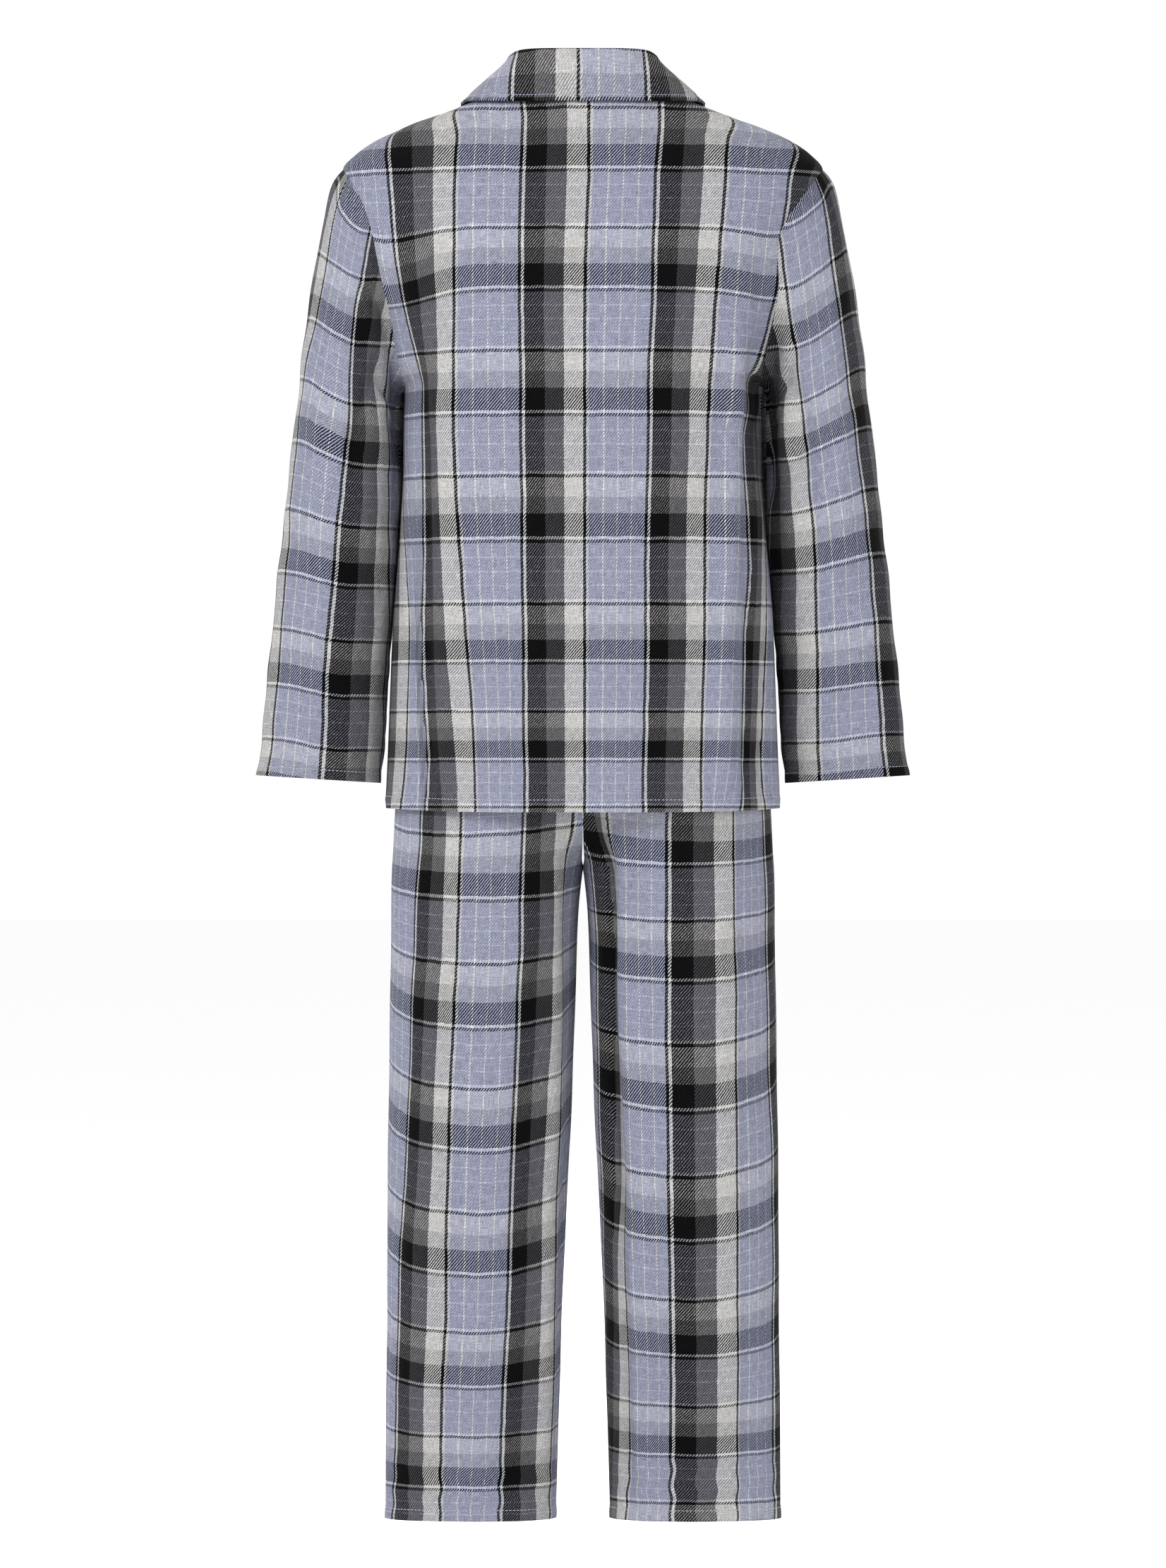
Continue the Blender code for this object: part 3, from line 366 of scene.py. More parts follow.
LEG_STRIPES = {
    LEFT: table(
        "level a b c d e",
        (-540, 61, 98, 147, 184, 237), (-600, 63, 99, 147, 191, 244),
        (-650, 63, 98, 147, 193, 246), (-700, 59, 94, 144, 191, 244),
        (-760, 53, 88, 139, 184, 237), (-820, 47, 83, 133, 177, 230),
        (-880, 39, 78, 128, 171, 224), (-940, 33, 75, 123, 167, 220),
        (-1000, 29, 69, 117, 162, 215), (-1100, 23, 64, 110, 155, 208),
    ),
    RIGHT: table(
        "level a b c d e",
        (-540, 39, 75, 130, 177, 185), (-600, 42, 78, 133, 180, 186),
        (-650, 42, 78, 134, 179, 184), (-700, 40, 76, 133, 176, 181),
        (-760, 36, 73, 129, 172, 177), (-820, 31, 69, 125, 166, 172),
        (-880, 29, 66, 121, 161, 169), (-940, 27, 63, 117, 155, 166),
        (-1000, 26, 60, 114, 149, 163), (-1100, 24, 57, 110, 147, 166),
    ),
}
# How far past the named places the stripes go on at their own width.
STRIPES_BEYOND = 400

# Where the weft stripes lie: at this height, this far down the flat cloth.
JACKET_WEFT = table(
    "z down",
    (14, -47), (-35.7, 0), (-129.2, 94.7), (-224.6, 189.4), (-320.8, 284.1),
    (-417.6, 378.8), (-495, 473.5), (-544.7, 538.4), (-560, 558),
)
SLEEVE_WEFT = {
    LEFT: table(
        "z down",
        (-20, -148), (-72, -100), (-101, -77), (-137, -30), (-169, 0),
        (-264, 94.7), (-357.5, 189.4), (-443.6, 284.1), (-500.8, 349), (-540, 393),
    ),
    RIGHT: table(
        "z down",
        (-20, -154), (-96, -78), (-173.7, 0), (-260.4, 94.7),
        (-345.4, 189.4), (-439.2, 284.1), (-520.9, 378.8), (-540, 400),
    ),
}
LEG_WEFT = {
    LEFT: table(
        "z down",
        (-340, -258), (-597, 0), (-697, 94.7), (-792, 189.4),
        (-889, 284.1), (-978.6, 378.8), (-1057, 473.5), (-1110, 535),
    ),
    RIGHT: table(
        "z down",
        (-340, -233), (-572.5, 0), (-661.2, 94.7), (-760, 189.4), (-862, 284.1),
        (-954.3, 378.8), (-1033, 473.5), (-1083.7, 538.4), (-1110, 570),
    ),
}
# How much higher the weft runs at a sleeve's outer line than at its back, and how far round the
# sleeve that goes on, from 0 to 1.
SLEEVE_LEAN = {
    LEFT: table("z rise", (-60, 45), (-125, 22), (-245, 22), (-345, 13), (-490, 9)),
    RIGHT: table("z rise", (-60, 36), (-150, 30), (-240, 27), (-334, 16), (-434, 7)),
}
SLEEVE_LEAN_REACH = {LEFT: 0.25, RIGHT: 0.4}
# How far the weft sags between a leg's seams.
LEG_SAG = table(
    "z sag",
    (-540, 8), (-600, 10), (-700, 22), (-800, 25), (-880, 23),
    (-935, 18), (-980, 12.5), (-1023, 7), (-1072, 2), (-1099, 0),
)
FRONT_SAG_SHARE = 0.5
# Near a trouser hem the warp is drawn from side to side, in waves up the leg.
WOBBLE_START = 26
WOBBLE_REACH = 24
WOBBLE_WAVE = 23
WOBBLE_SHIFT = 17
WOBBLE_SIZE = 1.1
BACK_DROOPS = table("x z drop width height", (146, -140, 14, 34, 42), (-146, -135, 7, 34, 42))
# How far along the cloth the hidden pieces' first stripe starts.
FRONT_START = 24
FRONT_LEG_START = 70
LAPEL_TOP_Z = 14
COLLAR_PAIR_X = 59.5
COLLAR_EDGE_DOWN = 96.5
COLLAR_DOWN_SCALE = 0.66

# Topstitches and the sewing on of the buttons.
STITCH_LENGTH = 2.3
STITCH_PITCH = 3.1
STITCH_RADIUS = 0.32
STITCH_SIDES = 6
# A stitch's sections: how far along it, and how thick it is there.
STITCH = table("along radius", (0, 0.3), (0.18, 0.85), (0.5, 1), (0.82, 0.85), (1, 0.3))
BUTTON_Z = (-96, -208, -320, -432)
BUTTON_LIFT = 1.75
BUTTON_PROBE = 10
THREAD_REACH = 1.5
THREAD_RADIUS = 0.4
THREAD_STEPS = 8
THREAD_RISE = 0.9
HOLE_START = -4
HOLE_END = 11
HOLE_HALF_WIDTH = 1.5
HOLE_GAP = 0.2
HOLE_PITCH = 0.75
HOLE_STITCH_RADIUS = 0.38
HOLE_STITCH_STEPS = 3

# The yarns, as they look on a screen (0 to 1).
BLACK = (0.059, 0.06, 0.062)
CHARCOAL = (0.281, 0.275, 0.285)
IVORY = (0.829, 0.826, 0.815)
WHITE = (0.84, 0.84, 0.85)
BLUE = (0.645, 0.664, 0.77)
BLUE_LINE = (0.88, 0.885, 0.87)
WEFT_BLACK = (0.088, 0.089, 0.1)
WEFT_BLUE = (0.535, 0.535, 0.58)
WEFT_LINE = (0.72, 0.72, 0.76)
TAUPE = (0.54, 0.535, 0.54)
WEFT_WHITE = (0.742, 0.734, 0.729)
WEFT_WHITE_LINE = (0.86, 0.86, 0.87)
WARP_BANDS = table(
    "start yarn",
    (0, BLACK), (2.5, WHITE), (4.7, BLACK), (21.5, CHARCOAL), (38, IVORY), (54.5, BLACK),
    (57, WHITE), (59.2, BLUE), (70.8, BLUE_LINE), (71.9, BLUE), (82.9, BLUE_LINE), (84, BLUE),
    (95, BLUE_LINE), (96.1, BLUE),
)
WEFT_BANDS = table(
    "start yarn",
    (0, WEFT_BLACK), (16.8, WEFT_WHITE_LINE), (19, WEFT_BLACK), (21.5, WEFT_BLUE),
    (31.4, WEFT_LINE), (32.4, WEFT_BLUE), (41.6, WEFT_LINE), (42.6, WEFT_BLUE),
    (51.8, WEFT_LINE), (52.8, WEFT_BLUE), (62.7, WEFT_WHITE_LINE), (64.9, WEFT_BLACK),
    (67.4, WEFT_WHITE), (82, TAUPE),
)
# The twill's lines rise to the right. Along a warp stripe the weft shows in this much of the cloth.
# The colours mix as this power of their screen values, because dark yarns tell more than light ones.
TWILL_ACROSS = 2.4
TWILL_SLOPE = 0.85
WEFT_SHARE = 0.4
MIX_POWER = 0.42
SCREEN_GAMMA = 2.2
RIB_SHARPNESS = 1.7
# How far yarns wander and the twill's lines waver, how unlike the floats are, and how uneven the
# colour is. The noises are stretched across and down the cloth.
WANDER = 1.6
TWILL_WANDER = 1.1
FLOAT_RANGE = 0.8
UNEVENNESS = 0.24
CLOTH_BRIGHTNESS = 0.52
Noise = namedtuple("Noise", "across down scale detail roughness", defaults=(2, 0.5))
WANDER_ACROSS = Noise(0.02, 0.06, 1)
WANDER_DOWN = Noise(0.07, 0.02, 1.1)
TWILL_WAVER = Noise(1, 1, 0.45)
FLOATS = Noise(1, 1, 0.7)
WARP_SLUB = Noise(1.6, 0.12, 1, 3)
WEFT_SLUB = Noise(0.12, 1.6, 1, 3)
NAP = Noise(1, 1, 0.9, 4, 0.7)
SLACK = Noise(0.045, 0.02, 1, 3, 0.55)
SLACK_BUMP = 0.0035
NAP_BUMP = 0.0003
RIB_BUMP = 0.00008
FLANNEL_SHADER = {
    "Roughness": 0.92,
    "Specular IOR Level": 0.04,
    "Sheen Weight": 0.02,
    "Sheen Roughness": 0.5,
}
THREAD_DARK = (0.24, 0.256, 0.32, 1)
THREAD_PALE = (0.3, 0.32, 0.4, 1)
THREAD_TWIST = Noise(1, 1, 2400)
THREAD_BUMP = 0.0001
THREAD_SHADER = {"Roughness": 0.6}
BUTTON_DARK = (0.5, 0.5, 0.49, 1)
BUTTON_PALE = (0.72, 0.71, 0.69, 1)
BUTTON_CLOUD = Noise(1, 1, 220, 3)
BUTTON_BUMP = 0.00004
BUTTON_SHADER = {"Roughness": 0.28}
FLOOR_SHADER = {"Base Color": (0.97, 0.97, 0.97, 1), "Roughness": 1, "Specular IOR Level": 0}

# The studio, in metres and watts.
CAMERA_PLACE = (0, 6.0, -0.5283)
LENS = 176.8
SENSOR = 36
SKY = 1.0
LIGHTS = table(
    "name place size power",
    ("key", (2.6, 3.2, 1.8), 1.4, 158),
    ("fill", (-3.0, 3.4, 0.4), 2.0, 63),
    ("front", (1.5, -4.5, 1.6), 3.0, 150),
)
LIGHT_TARGET = (0, 0, -0.5)
FLOOR_Z = -1.16
FLOOR_RADIUS = 30
FLOOR_SIDES = 64

# Each piece's cut: the width and length it is cut from, and its area, in metres.
Cut = namedtuple("Cut", "width length area")


def smooth_curve(rows, key, value):
    """A monotone cubic through two columns of a table, so that no section overshoots the next."""
    x = np.array([getattr(row, key) for row in rows], float)
    y = np.array([getattr(row, value) for row in rows], float)
    order = np.argsort(x)
    x, y = x[order], y[order]
    step = np.diff(x)
    slope = np.diff(y) / step
    tangent = np.zeros(len(x))
    same_way = slope[:-1] * slope[1:] > 0
    with np.errstate(divide="ignore", invalid="ignore"):
        mean = 2 * slope[:-1] * slope[1:] / (slope[:-1] + slope[1:])
    tangent[1:-1] = np.where(same_way, mean, 0)
    tangent[0], tangent[-1] = slope[0], slope[-1]

    def at(where):
        where = np.clip(np.asarray(where, float), x[0], x[-1])
        cell = np.clip(np.searchsorted(x, where) - 1, 0, len(step) - 1)
        t = (where - x[cell]) / step[cell]
        rise = y[cell + 1] - y[cell]
        a = tangent[cell] * step[cell] - rise
        b = rise - tangent[cell + 1] * step[cell]
        return y[cell] + t * rise + t * (1 - t) * (a * (1 - t) + b * t)

    return at


def curves(rows):
    """A curve through each of a table's other columns, against its first one."""
    key, *values = rows[0]._fields
    return SimpleNamespace(**{value: smooth_curve(rows, key, value) for value in values})


torso, hips, leg = curves(TORSO), curves(HIPS), curves(LEG)
armhole_x = curves(ARMHOLE).x
crotch_turned = curves(CROTCH).turned
# Steps from 0 to 1 that are finest at both ends.
EASED_STEPS = (1 - np.cos(np.linspace(0, math.pi, FINE))) / 2
# The shoulder line, read the other way: the height of the torso's top at each x.
SHOULDER_LEVELS = np.linspace(NECK_POINT_Z, SHOULDER_TIP_Z, FINE)
SHOULDER_WIDTHS = torso.half_width(SHOULDER_LEVELS)


def ease(t):
    t = np.clip(t, 0, 1)
    return t * t * (3 - 2 * t)


def bell(off):
    return np.exp(-(off**2))


def unit(vectors):
    return vectors / np.maximum(np.linalg.norm(vectors, axis=-1, keepdims=True), TINY)


def mirrored(grid):
    return grid * np.array([-1, 1, 1])


def on_side(grid, side):
    return mirrored(grid) if side == RIGHT else grid


def closed(grid):
    """A wrapped grid with its first column again at the end."""
    return np.concatenate([grid, grid[:, :1]], axis=1)


def reach_of(form, z, side):
    return form.back(z) if side == BACK else form.front(z)


def superellipse(x, width, reach, roundness):
    inside = np.clip(1 - np.abs(x / width) ** roundness, 0, 1)
    return reach * inside ** (1 / roundness)


def rounded(wave, roundness):
    return np.sign(wave) * np.abs(wave) ** (2 / roundness)


def form_line(form, x, z, side):
    """Points of a form's surface, at these places seen from behind."""
    y = side * superellipse(x, form.half_width(z), reach_of(form, z, side), form.roundness(z))
    return np.stack([x, y, z], axis=-1)


def filled(x, y, z, side):
    """How far out in the torso's section a point lies: 1 is on its surface."""
    power = torso.roundness(z)
    return np.abs(x / torso.half_width(z)) ** power + np.abs(y / reach_of(torso, z, side)) ** power


def on_torso(x, z, side, lift):
    """Points on the torso's form, moved out by lift along its own direction."""
    points = form_line(torso, x, z, side)
    y, d = points[..., 1], PROBE
    gradient = [
        filled(x + d, y, z, side) - filled(x - d, y, z, side),
        filled(x, y + d, z, side) - filled(x, y - d, z, side),
        filled(x, y, z + d, side) - filled(x, y, z - d, side),
    ]
    return points + np.asarray(lift, float)[..., None] * unit(np.stack(gradient, axis=-1))


def torso_top(x, y):
    """The height of the torso's form over a point."""
    levels = np.linspace(NECK_POINT_Z, UNDERARM_Z, LEVELS)
    return np.interp(-1, -filled(x, y, levels, BACK if y > 0 else FRONT), levels)


def distances(points):
    """How far along a line each of its points lies."""
    steps = np.linalg.norm(np.diff(points, axis=0), axis=1)
    return np.concatenate([[0], np.cumsum(steps)])


def at_distance(points, run, where):
    """What a line of points, or of directions, is at these distances along it."""
    return np.stack([np.interp(where, run, column) for column in points.T], axis=-1)


def along(points, fractions):
    """Points at these fractions of a line's length."""
    run = distances(points)
    return at_distance(points, run, fractions * run[-1])


def stepped(points, count):
    """A line cut into this many even steps."""
    return along(points, np.linspace(0, 1, count + 1))


def arcs(grid, wrapped=False):
    """Each point's distance along its row from the row's first point."""
    steps = np.linalg.norm(np.diff(closed(grid) if wrapped else grid, axis=1), axis=2)
    return np.concatenate([np.zeros((len(grid), 1)), np.cumsum(steps, axis=1)], axis=1)


def from_edge(grid, edge):
    """A grid's lines of points, each starting at this edge."""
    lines = np.swapaxes(grid, 0, 1) if edge in ("top", "bottom") else grid
    return lines[:, ::-1] if edge in ("bottom", "last") else lines


def edge_distance(grid, *edges):
    """Each point's distance over the cloth from the nearest of these edges of its grid."""
    found = []
    for edge in edges:
        run = arcs(from_edge(grid, edge))
        run = run[:, ::-1] if edge in ("bottom", "last") else run
        found.append(run.T if edge in ("top", "bottom") else run)
    return np.minimum.reduce(found)


def smooth_rows(rows, count):
    """Rows of points, made into this many steps by a cubic through each column."""
    rows = np.asarray(rows, float)
    steps = np.linalg.norm(np.diff(rows, axis=0), axis=2).mean(axis=1)
    run = np.concatenate([[0], np.cumsum(steps)])
    slope = np.gradient(rows, run, axis=0)
    at = np.linspace(0, 1, count + 1) * run[-1]
    cell = np.clip(np.searchsorted(run, at) - 1, 0, len(rows) - 2)
    width = (run[cell + 1] - run[cell])[:, None, None]
    t = (at - run[cell])[:, None, None] / width
    start, end = slope[cell] * width, slope[cell + 1] * width
    cube, square = t**3, t**2
    return (
        rows[cell] * (2 * cube - 3 * square + 1)
        + start * (cube - 2 * square + t)
        + rows[cell + 1] * (3 * square - 2 * cube)
        + end * (cube - square)
    )


def face_normals(grid, wrapped):
    """Directions at each point, weighed by the faces around it."""
    right = np.roll(grid, -1, axis=1) if wrapped else grid[:, 1:]
    left = grid if wrapped else grid[:, :-1]
    faces = np.cross(right[1:] - left[:-1], right[:-1] - left[1:])
    total = np.zeros_like(grid)
    rows, columns = faces.shape[:2]
    for down in (0, 1):
        for across in (0, 1):
            if wrapped:
                total[down : down + rows] += np.roll(faces, across, axis=1)
            else:
                total[down : down + rows, across : across + columns] += faces
    return total


EDGES = {
    "top": (np.s_[0], np.s_[1]),
    "bottom": (np.s_[-1], np.s_[-2]),
    "first": (np.s_[:, 0], np.s_[:, 1]),
    "last": (np.s_[:, -1], np.s_[:, -2]),
}


class Cloth:
    """A piece of cloth: a grid of points on its outer face, rows down and columns across.

    outward is a direction, or one for each point, that the outer face agrees with on the whole.
    """

    def __init__(self, name, grid, outward, wrapped=False, seams=(), cloth=CLOTH):
        self.name = name
        self.wrapped = wrapped
        self.seams = seams
        # The grid before it is folded, on which its stripes are laid.
        self.plain = grid
        self.grid = grid
        self.normals = unit(face_normals(grid, wrapped))
        self.turned = np.sum(self.normals * outward) < 0
        if self.turned:
            self.normals = -self.normals
        self.parting = np.zeros_like(grid)
        self.thickness = np.full(grid.shape[:2], cloth)
        # Each row's distances across and its level, and each point's place on the flat cloth.
        self.run = arcs(grid, wrapped)
        self.level = grid[:, 0, 2]
        self.across = None
        self.down = None

    def fold(self, heights):
        self.grid = self.grid + heights[..., None] * self.normals

    def turn_hem(self, stitch_line):
        """A hem stands a little proud of the cloth, and its line of stitches pulls it in."""
        to_hem = edge_distance(self.plain, "bottom")
        rise = HEM_RISE * (1 - ease((to_hem - stitch_line) / HEM_STEP))
        self.fold(rise - stitch_pull(to_hem - stitch_line))
        self.thickness += HEM_RISE * (to_hem < stitch_line)

    def keys(self):
        """Its points, rounded so that another piece's same points can be found."""
        rounded_points = np.round(self.grid.reshape(-1, 3), SAME_POINT_DIGITS)
        return [tuple(point) for point in rounded_points.tolist()]

    def into(self):
        """Directions from its seams into the piece, square to each seam, and 0 elsewhere."""
        total = np.zeros_like(self.grid)
        for seam in self.seams:
            edge, inside = (self.grid[where] for where in EDGES[seam])
            if self.wrapped:
                tangent = unit(np.roll(edge, -1, axis=0) - np.roll(edge, 1, axis=0))
            else:
                tangent = unit(np.gradient(edge, axis=0))
            inward = inside - edge
            inward -= np.sum(inward * tangent, axis=1, keepdims=True) * tangent
            total[EDGES[seam][0]] += unit(inward)
        return unit(total)


def meetings(pieces):
    """For each point, the pieces that have it: each one's number, outward and inward directions."""
    met = {}
    for number, piece in enumerate(pieces):
        rows = zip(piece.keys(), piece.normals.reshape(-1, 3), piece.into().reshape(-1, 3))
        for key, normal, into in rows:
            met.setdefault(key, []).append((number, normal, into))
    return met


def share_directions(pieces):
    """Mitres the walls of pieces that meet at a ridge; at a crease their walls part by themselves."""
    met = meetings(pieces)
    for number, piece in enumerate(pieces):
        shared = []
        for key, own in zip(piece.keys(), piece.normals.reshape(-1, 3)):
            mean = np.mean([normal for _, normal, _ in met[key]], axis=0)
            lean = max(np.linalg.norm(mean), MOST_MITRE)
            creases = [into @ own for other, _, into in met[key] if other != number]
            crease = np.clip(max(creases, default=0) / FULL_CREASE, 0, 1)
            shared.append((1 - crease) * unit(mean) / lean + crease * own)
        piece.normals = np.array(shared).reshape(piece.grid.shape)


def part_seams(pieces):
    """Moves each piece's seams half the gap away from the pieces across them."""
    met = meetings(pieces)
    for number, piece in enumerate(pieces):
        parting = []
        for key, own in zip(piece.keys(), piece.into().reshape(-1, 3)):
            others = [into for other, _, into in met[key] if other != number]
            away = own - np.mean(others, axis=0) if others else own
            parting.append(unit(away) * SEAM_GAP / 2)
        piece.parting = np.array(parting).reshape(piece.grid.shape)


def nearest_on_line(x, z, line):
    """How far each point is from the start, and the end, of a line at its nearest place, and off it.

    The last is minus on the line's right-hand side, as one follows it.
    """
    line = np.array(line, float)
    run = distances(line)
    best = np.full(x.shape, np.inf)
    placed, off = np.zeros(x.shape), np.zeros(x.shape)
    for start, end, before in zip(line, line[1:], run):
        length = math.hypot(*(end - start))
        along_x, along_z = (end - start) / length
        to_x, to_z = x - start[0], z - start[1]
        t = np.clip(to_x * along_x + to_z * along_z, 0, length)
        gap = np.hypot(to_x - t * along_x, to_z - t * along_z)
        side = np.sign(along_x * to_z - along_z * to_x)
        closer = gap < best
        best = np.where(closer, gap, best)
        placed = np.where(closer, before + t, placed)
        off = np.where(closer, side * gap, off)
    return placed, run[-1] - placed, off


def fold_heights(x, z, folds):
    total = np.zeros(x.shape)
    for fold in folds:
        from_start, to_end, off = nearest_on_line(x, z, fold.line)
        spread = fold.spread * (1 + fold.lean * np.sign(off))
        run = ease(from_start / fold.fade) * ease(to_end / fold.fade)
        total += fold.height * bell(off / spread) * run
    return total


def soft_waves(x, z, waves):
    total = np.zeros(x.shape)
    for wave in waves:
        total += wave.height * np.sin(2 * math.pi * (x / wave.across + z / wave.down) + wave.start)
    return total


def creases(grid, folds, waves, away, to_seams, dip):
    """Folds and waves as far as away says, and sewn seams, where the cloth dips by this much."""
    x, z = grid[..., 0], grid[..., 2]
    heights = fold_heights(x, z, folds) + soft_waves(x, z, waves)
    return heights * away - dip * bell(to_seams / SEAM_DIP_WIDTH)


def stitch_pull(off):
    return STITCH_PULL * bell(off / STITCH_PULL_WIDTH)


def hem_puckers(x, off):
    """Uneven small waves along a stitched hem, by the distance off its stitches."""
    turn = 2 * math.pi * x / PUCKER_WAVE
    second = np.sin(turn / PUCKER_STRETCH + 2 * PUCKER_START)
    height = PUCKER_HEIGHT * (PUCKER_STEADY + (1 - PUCKER_STEADY) * second)
    return height * np.sin(turn + PUCKER_START) * bell(off / PUCKER_REACH)


def behind(y):
    return ease((y + PUSH_EASE) / (2 * PUSH_EASE))


def pushed(grid):
    """The cloth of the back and sleeves, drawn aside round some places, seams and all."""
    x, y, z = np.moveaxis(grid, -1, 0)
    moved = grid.copy()
    for push in BACK_PUSHES:
        near = bell(np.hypot((x - push.x) / push.width, (z - push.z) / push.height)) * behind(y)
        moved[..., 0] += push.across * near
        moved[..., 1] += push.out * near
    return moved


def lap_lift(x):
    return LAP_LIFT * (1 - ease((x - LAP_EASE_START) / LAP_EASE))


def shoulder_z(x):
    return np.interp(x, SHOULDER_WIDTHS, SHOULDER_LEVELS)


def back_top_z(x):
    neck = BACK_NECK_Z + (NECK_POINT_Z - BACK_NECK_Z) * (x / NECK_HALF_WIDTH) ** 2
    return np.where(x < NECK_HALF_WIDTH, neck, shoulder_z(x))


def front_top_z(x):
    drop = NECK_POINT_Z - NECK_DROP_Z
    neck = NECK_DROP_Z + drop * (x + OVERLAP) / (NECK_HALF_WIDTH + OVERLAP)
    return np.where(x < NECK_HALF_WIDTH, neck, shoulder_z(x))


def armhole_line(side):
    """The armhole seam from the shoulder tip to the underarm, in even steps."""
    z = SHOULDER_TIP_Z + (UNDERARM_Z - SHOULDER_TIP_Z) * EASED_STEPS
    line = form_line(torso, armhole_x(z), z, side)
    line[0] = (SHOULDER_TIP_X, 0, SHOULDER_TIP_Z)
    line[-1] = (torso.half_width(UNDERARM_Z), 0, UNDERARM_Z)
    return stepped(line, ARMHOLE_FACES)


def neck_line(start_x, top_z, side):
    """The neck seam of a panel, from its middle line to the neck point on the shoulder."""
    x = start_x + (NECK_HALF_WIDTH - start_x) * np.sin(np.linspace(0, math.pi / 2, FINE))
    line = form_line(torso, x, top_z(x), side)
    line[-1] = (NECK_HALF_WIDTH, 0, NECK_POINT_Z)
    return line


def torso_row(start_x, edge, top_z, side, turned, fractions):
    """One row of a panel, from start_x to a point of the armhole or side seam."""
    x = start_x + (edge[0] - start_x) * EASED_STEPS
    z = edge[2] + (1 - turned) * (top_z(np.maximum(x, start_x)) - top_z(edge[0]))
    line = form_line(torso, x, z, side)
    line[-1] = edge
    return along(line, fractions)


def torso_panel(start_x, top_z, side):
    """Half a body panel, from its middle line out to the armhole and the side seam."""
    neck = neck_line(start_x, top_z, side)
    x = np.linspace(NECK_HALF_WIDTH, SHOULDER_TIP_X, FINE)
    shoulder = stepped(np.stack([x, np.zeros(FINE), shoulder_z(x)], axis=1), SHOULDER_FACES)
    neck_share = distances(neck)[-1] / (distances(neck)[-1] + distances(shoulder)[-1])
    to_neck = np.linspace(0, neck_share, NECK_FACES + 1)[:-1]
    fractions = np.concatenate([to_neck, np.linspace(neck_share, 1, SHOULDER_FACES + 1)])
    rows = [np.concatenate([stepped(neck, NECK_FACES)[:-1], shoulder])]
    for edge in armhole_line(side)[1:]:
        fallen = (SHOULDER_TIP_Z - edge[2]) / (SHOULDER_TIP_Z - UNDERARM_Z)
        rows.append(torso_row(start_x, edge, top_z, side, fallen**ROW_LEVELLING, fractions))
    for level in np.linspace(UNDERARM_Z, JACKET_HEM_Z, BODY_FACES + 1)[1:]:
        width = torso.half_width(level)
        row = torso_row(start_x, np.array([width, 0, level]), top_z, side, 1, fractions)
        near_hem = ease((UNDERARM_Z - level) / (UNDERARM_Z - JACKET_HEM_Z))
        row[:, 2] += HEM_RISE_AT_SIDES * near_hem * (np.abs(row[:, 0]) / width) ** HEM_CURVE
        rows.append(row)
    return np.array(rows)


def side_dip(grid):
    return SIDE_SEAM_DIP * ease((UNDERARM_Z - grid[..., 2]) / SEAM_FADE)


def jacket_back():
    half = torso_panel(0, back_top_z, BACK)
    grid = pushed(np.concatenate([mirrored(half)[:, :0:-1], half], axis=1))
    piece = Cloth("jacket_back", grid, (0, BACK, 0), seams=("top", "first", "last"))
    to_sides = edge_distance(grid, "first", "last")
    away = ease(to_sides / SEAM_FADE) * ease(edge_distance(grid, "top") / SEAM_FADE)
    heights = creases(grid, BACK_FOLDS, BODY_WAVES, away, to_sides, side_dip(grid))
    off_stitches = edge_distance(grid, "bottom") - JACKET_HEM_STITCH
    piece.fold(heights + hem_puckers(grid[..., 0], off_stitches))
    piece.turn_hem(JACKET_HEM_STITCH)
    middle = half.shape[1] - 1
    piece.run = piece.run[:, middle : middle + 1] - piece.run
    piece.level = grid[:, middle, 2]
    return piece


def jacket_front(side):
    grid = torso_panel(-OVERLAP, front_top_z, FRONT)
    to_side = edge_distance(grid, "last")
    away = ease(to_side / SEAM_FADE) * ease(edge_distance(grid, "top") / SEAM_FADE)
    away = away * ease((edge_distance(grid, "first") - FACING_WIDTH) / SEAM_FADE)
    heights = creases(grid, FRONT_FOLDS, BODY_WAVES, away, to_side, side_dip(grid))
    if side == LEFT:
        heights = heights + lap_lift(grid[..., 0])
    name = "jacket_front_" + SIDE_NAMES[side]
    piece = Cloth(name, on_side(grid, side), (0, FRONT, 0), seams=("top", "last"))
    piece.fold(heights)
    piece.turn_hem(JACKET_HEM_STITCH)
    return piece


def sleeve_ring(ring, columns):
    turn = np.linspace(0, 2 * math.pi, 2 * FINE)
    outer = np.array([ring.outer_x, 0, ring.outer_z])
    inner = np.array([ring.inner_x, 0, ring.inner_z])
    out = rounded(np.cos(turn), SLEEVE_ROUNDNESS)
    line = (outer + inner) / 2 + out[:, None] * (outer - inner) / 2
    line[:, 1] = ring.half_depth * rounded(np.sin(turn), SLEEVE_ROUNDNESS) - ring.forward
    return stepped(line, columns)[:-1]


def resting_on_body(grid):
    """Lets the inside of the sleeve, front of the side seam, lie against the body."""
    x, y, z = np.moveaxis(grid, -1, 0)
    reach = np.where(y > 0, torso.back(z), torso.front(z))
    body_x = superellipse(y, reach, torso.half_width(z), torso.roundness(z))
    gap = np.maximum(x - body_x - REST_GAP, 0)
    near = 1 - ease((gap - REST_REACH) / REST_REACH)
    level = ease((REST_TOP_Z - z) / REST_TOP_EASE) * ease((z - REST_END_Z) / REST_END_EASE)
    before = 1 - ease((y - REST_BACK_Y) / REST_BACK_EASE)
    moved = grid.copy()
    moved[..., 0] -= gap * near * level * before
    return moved


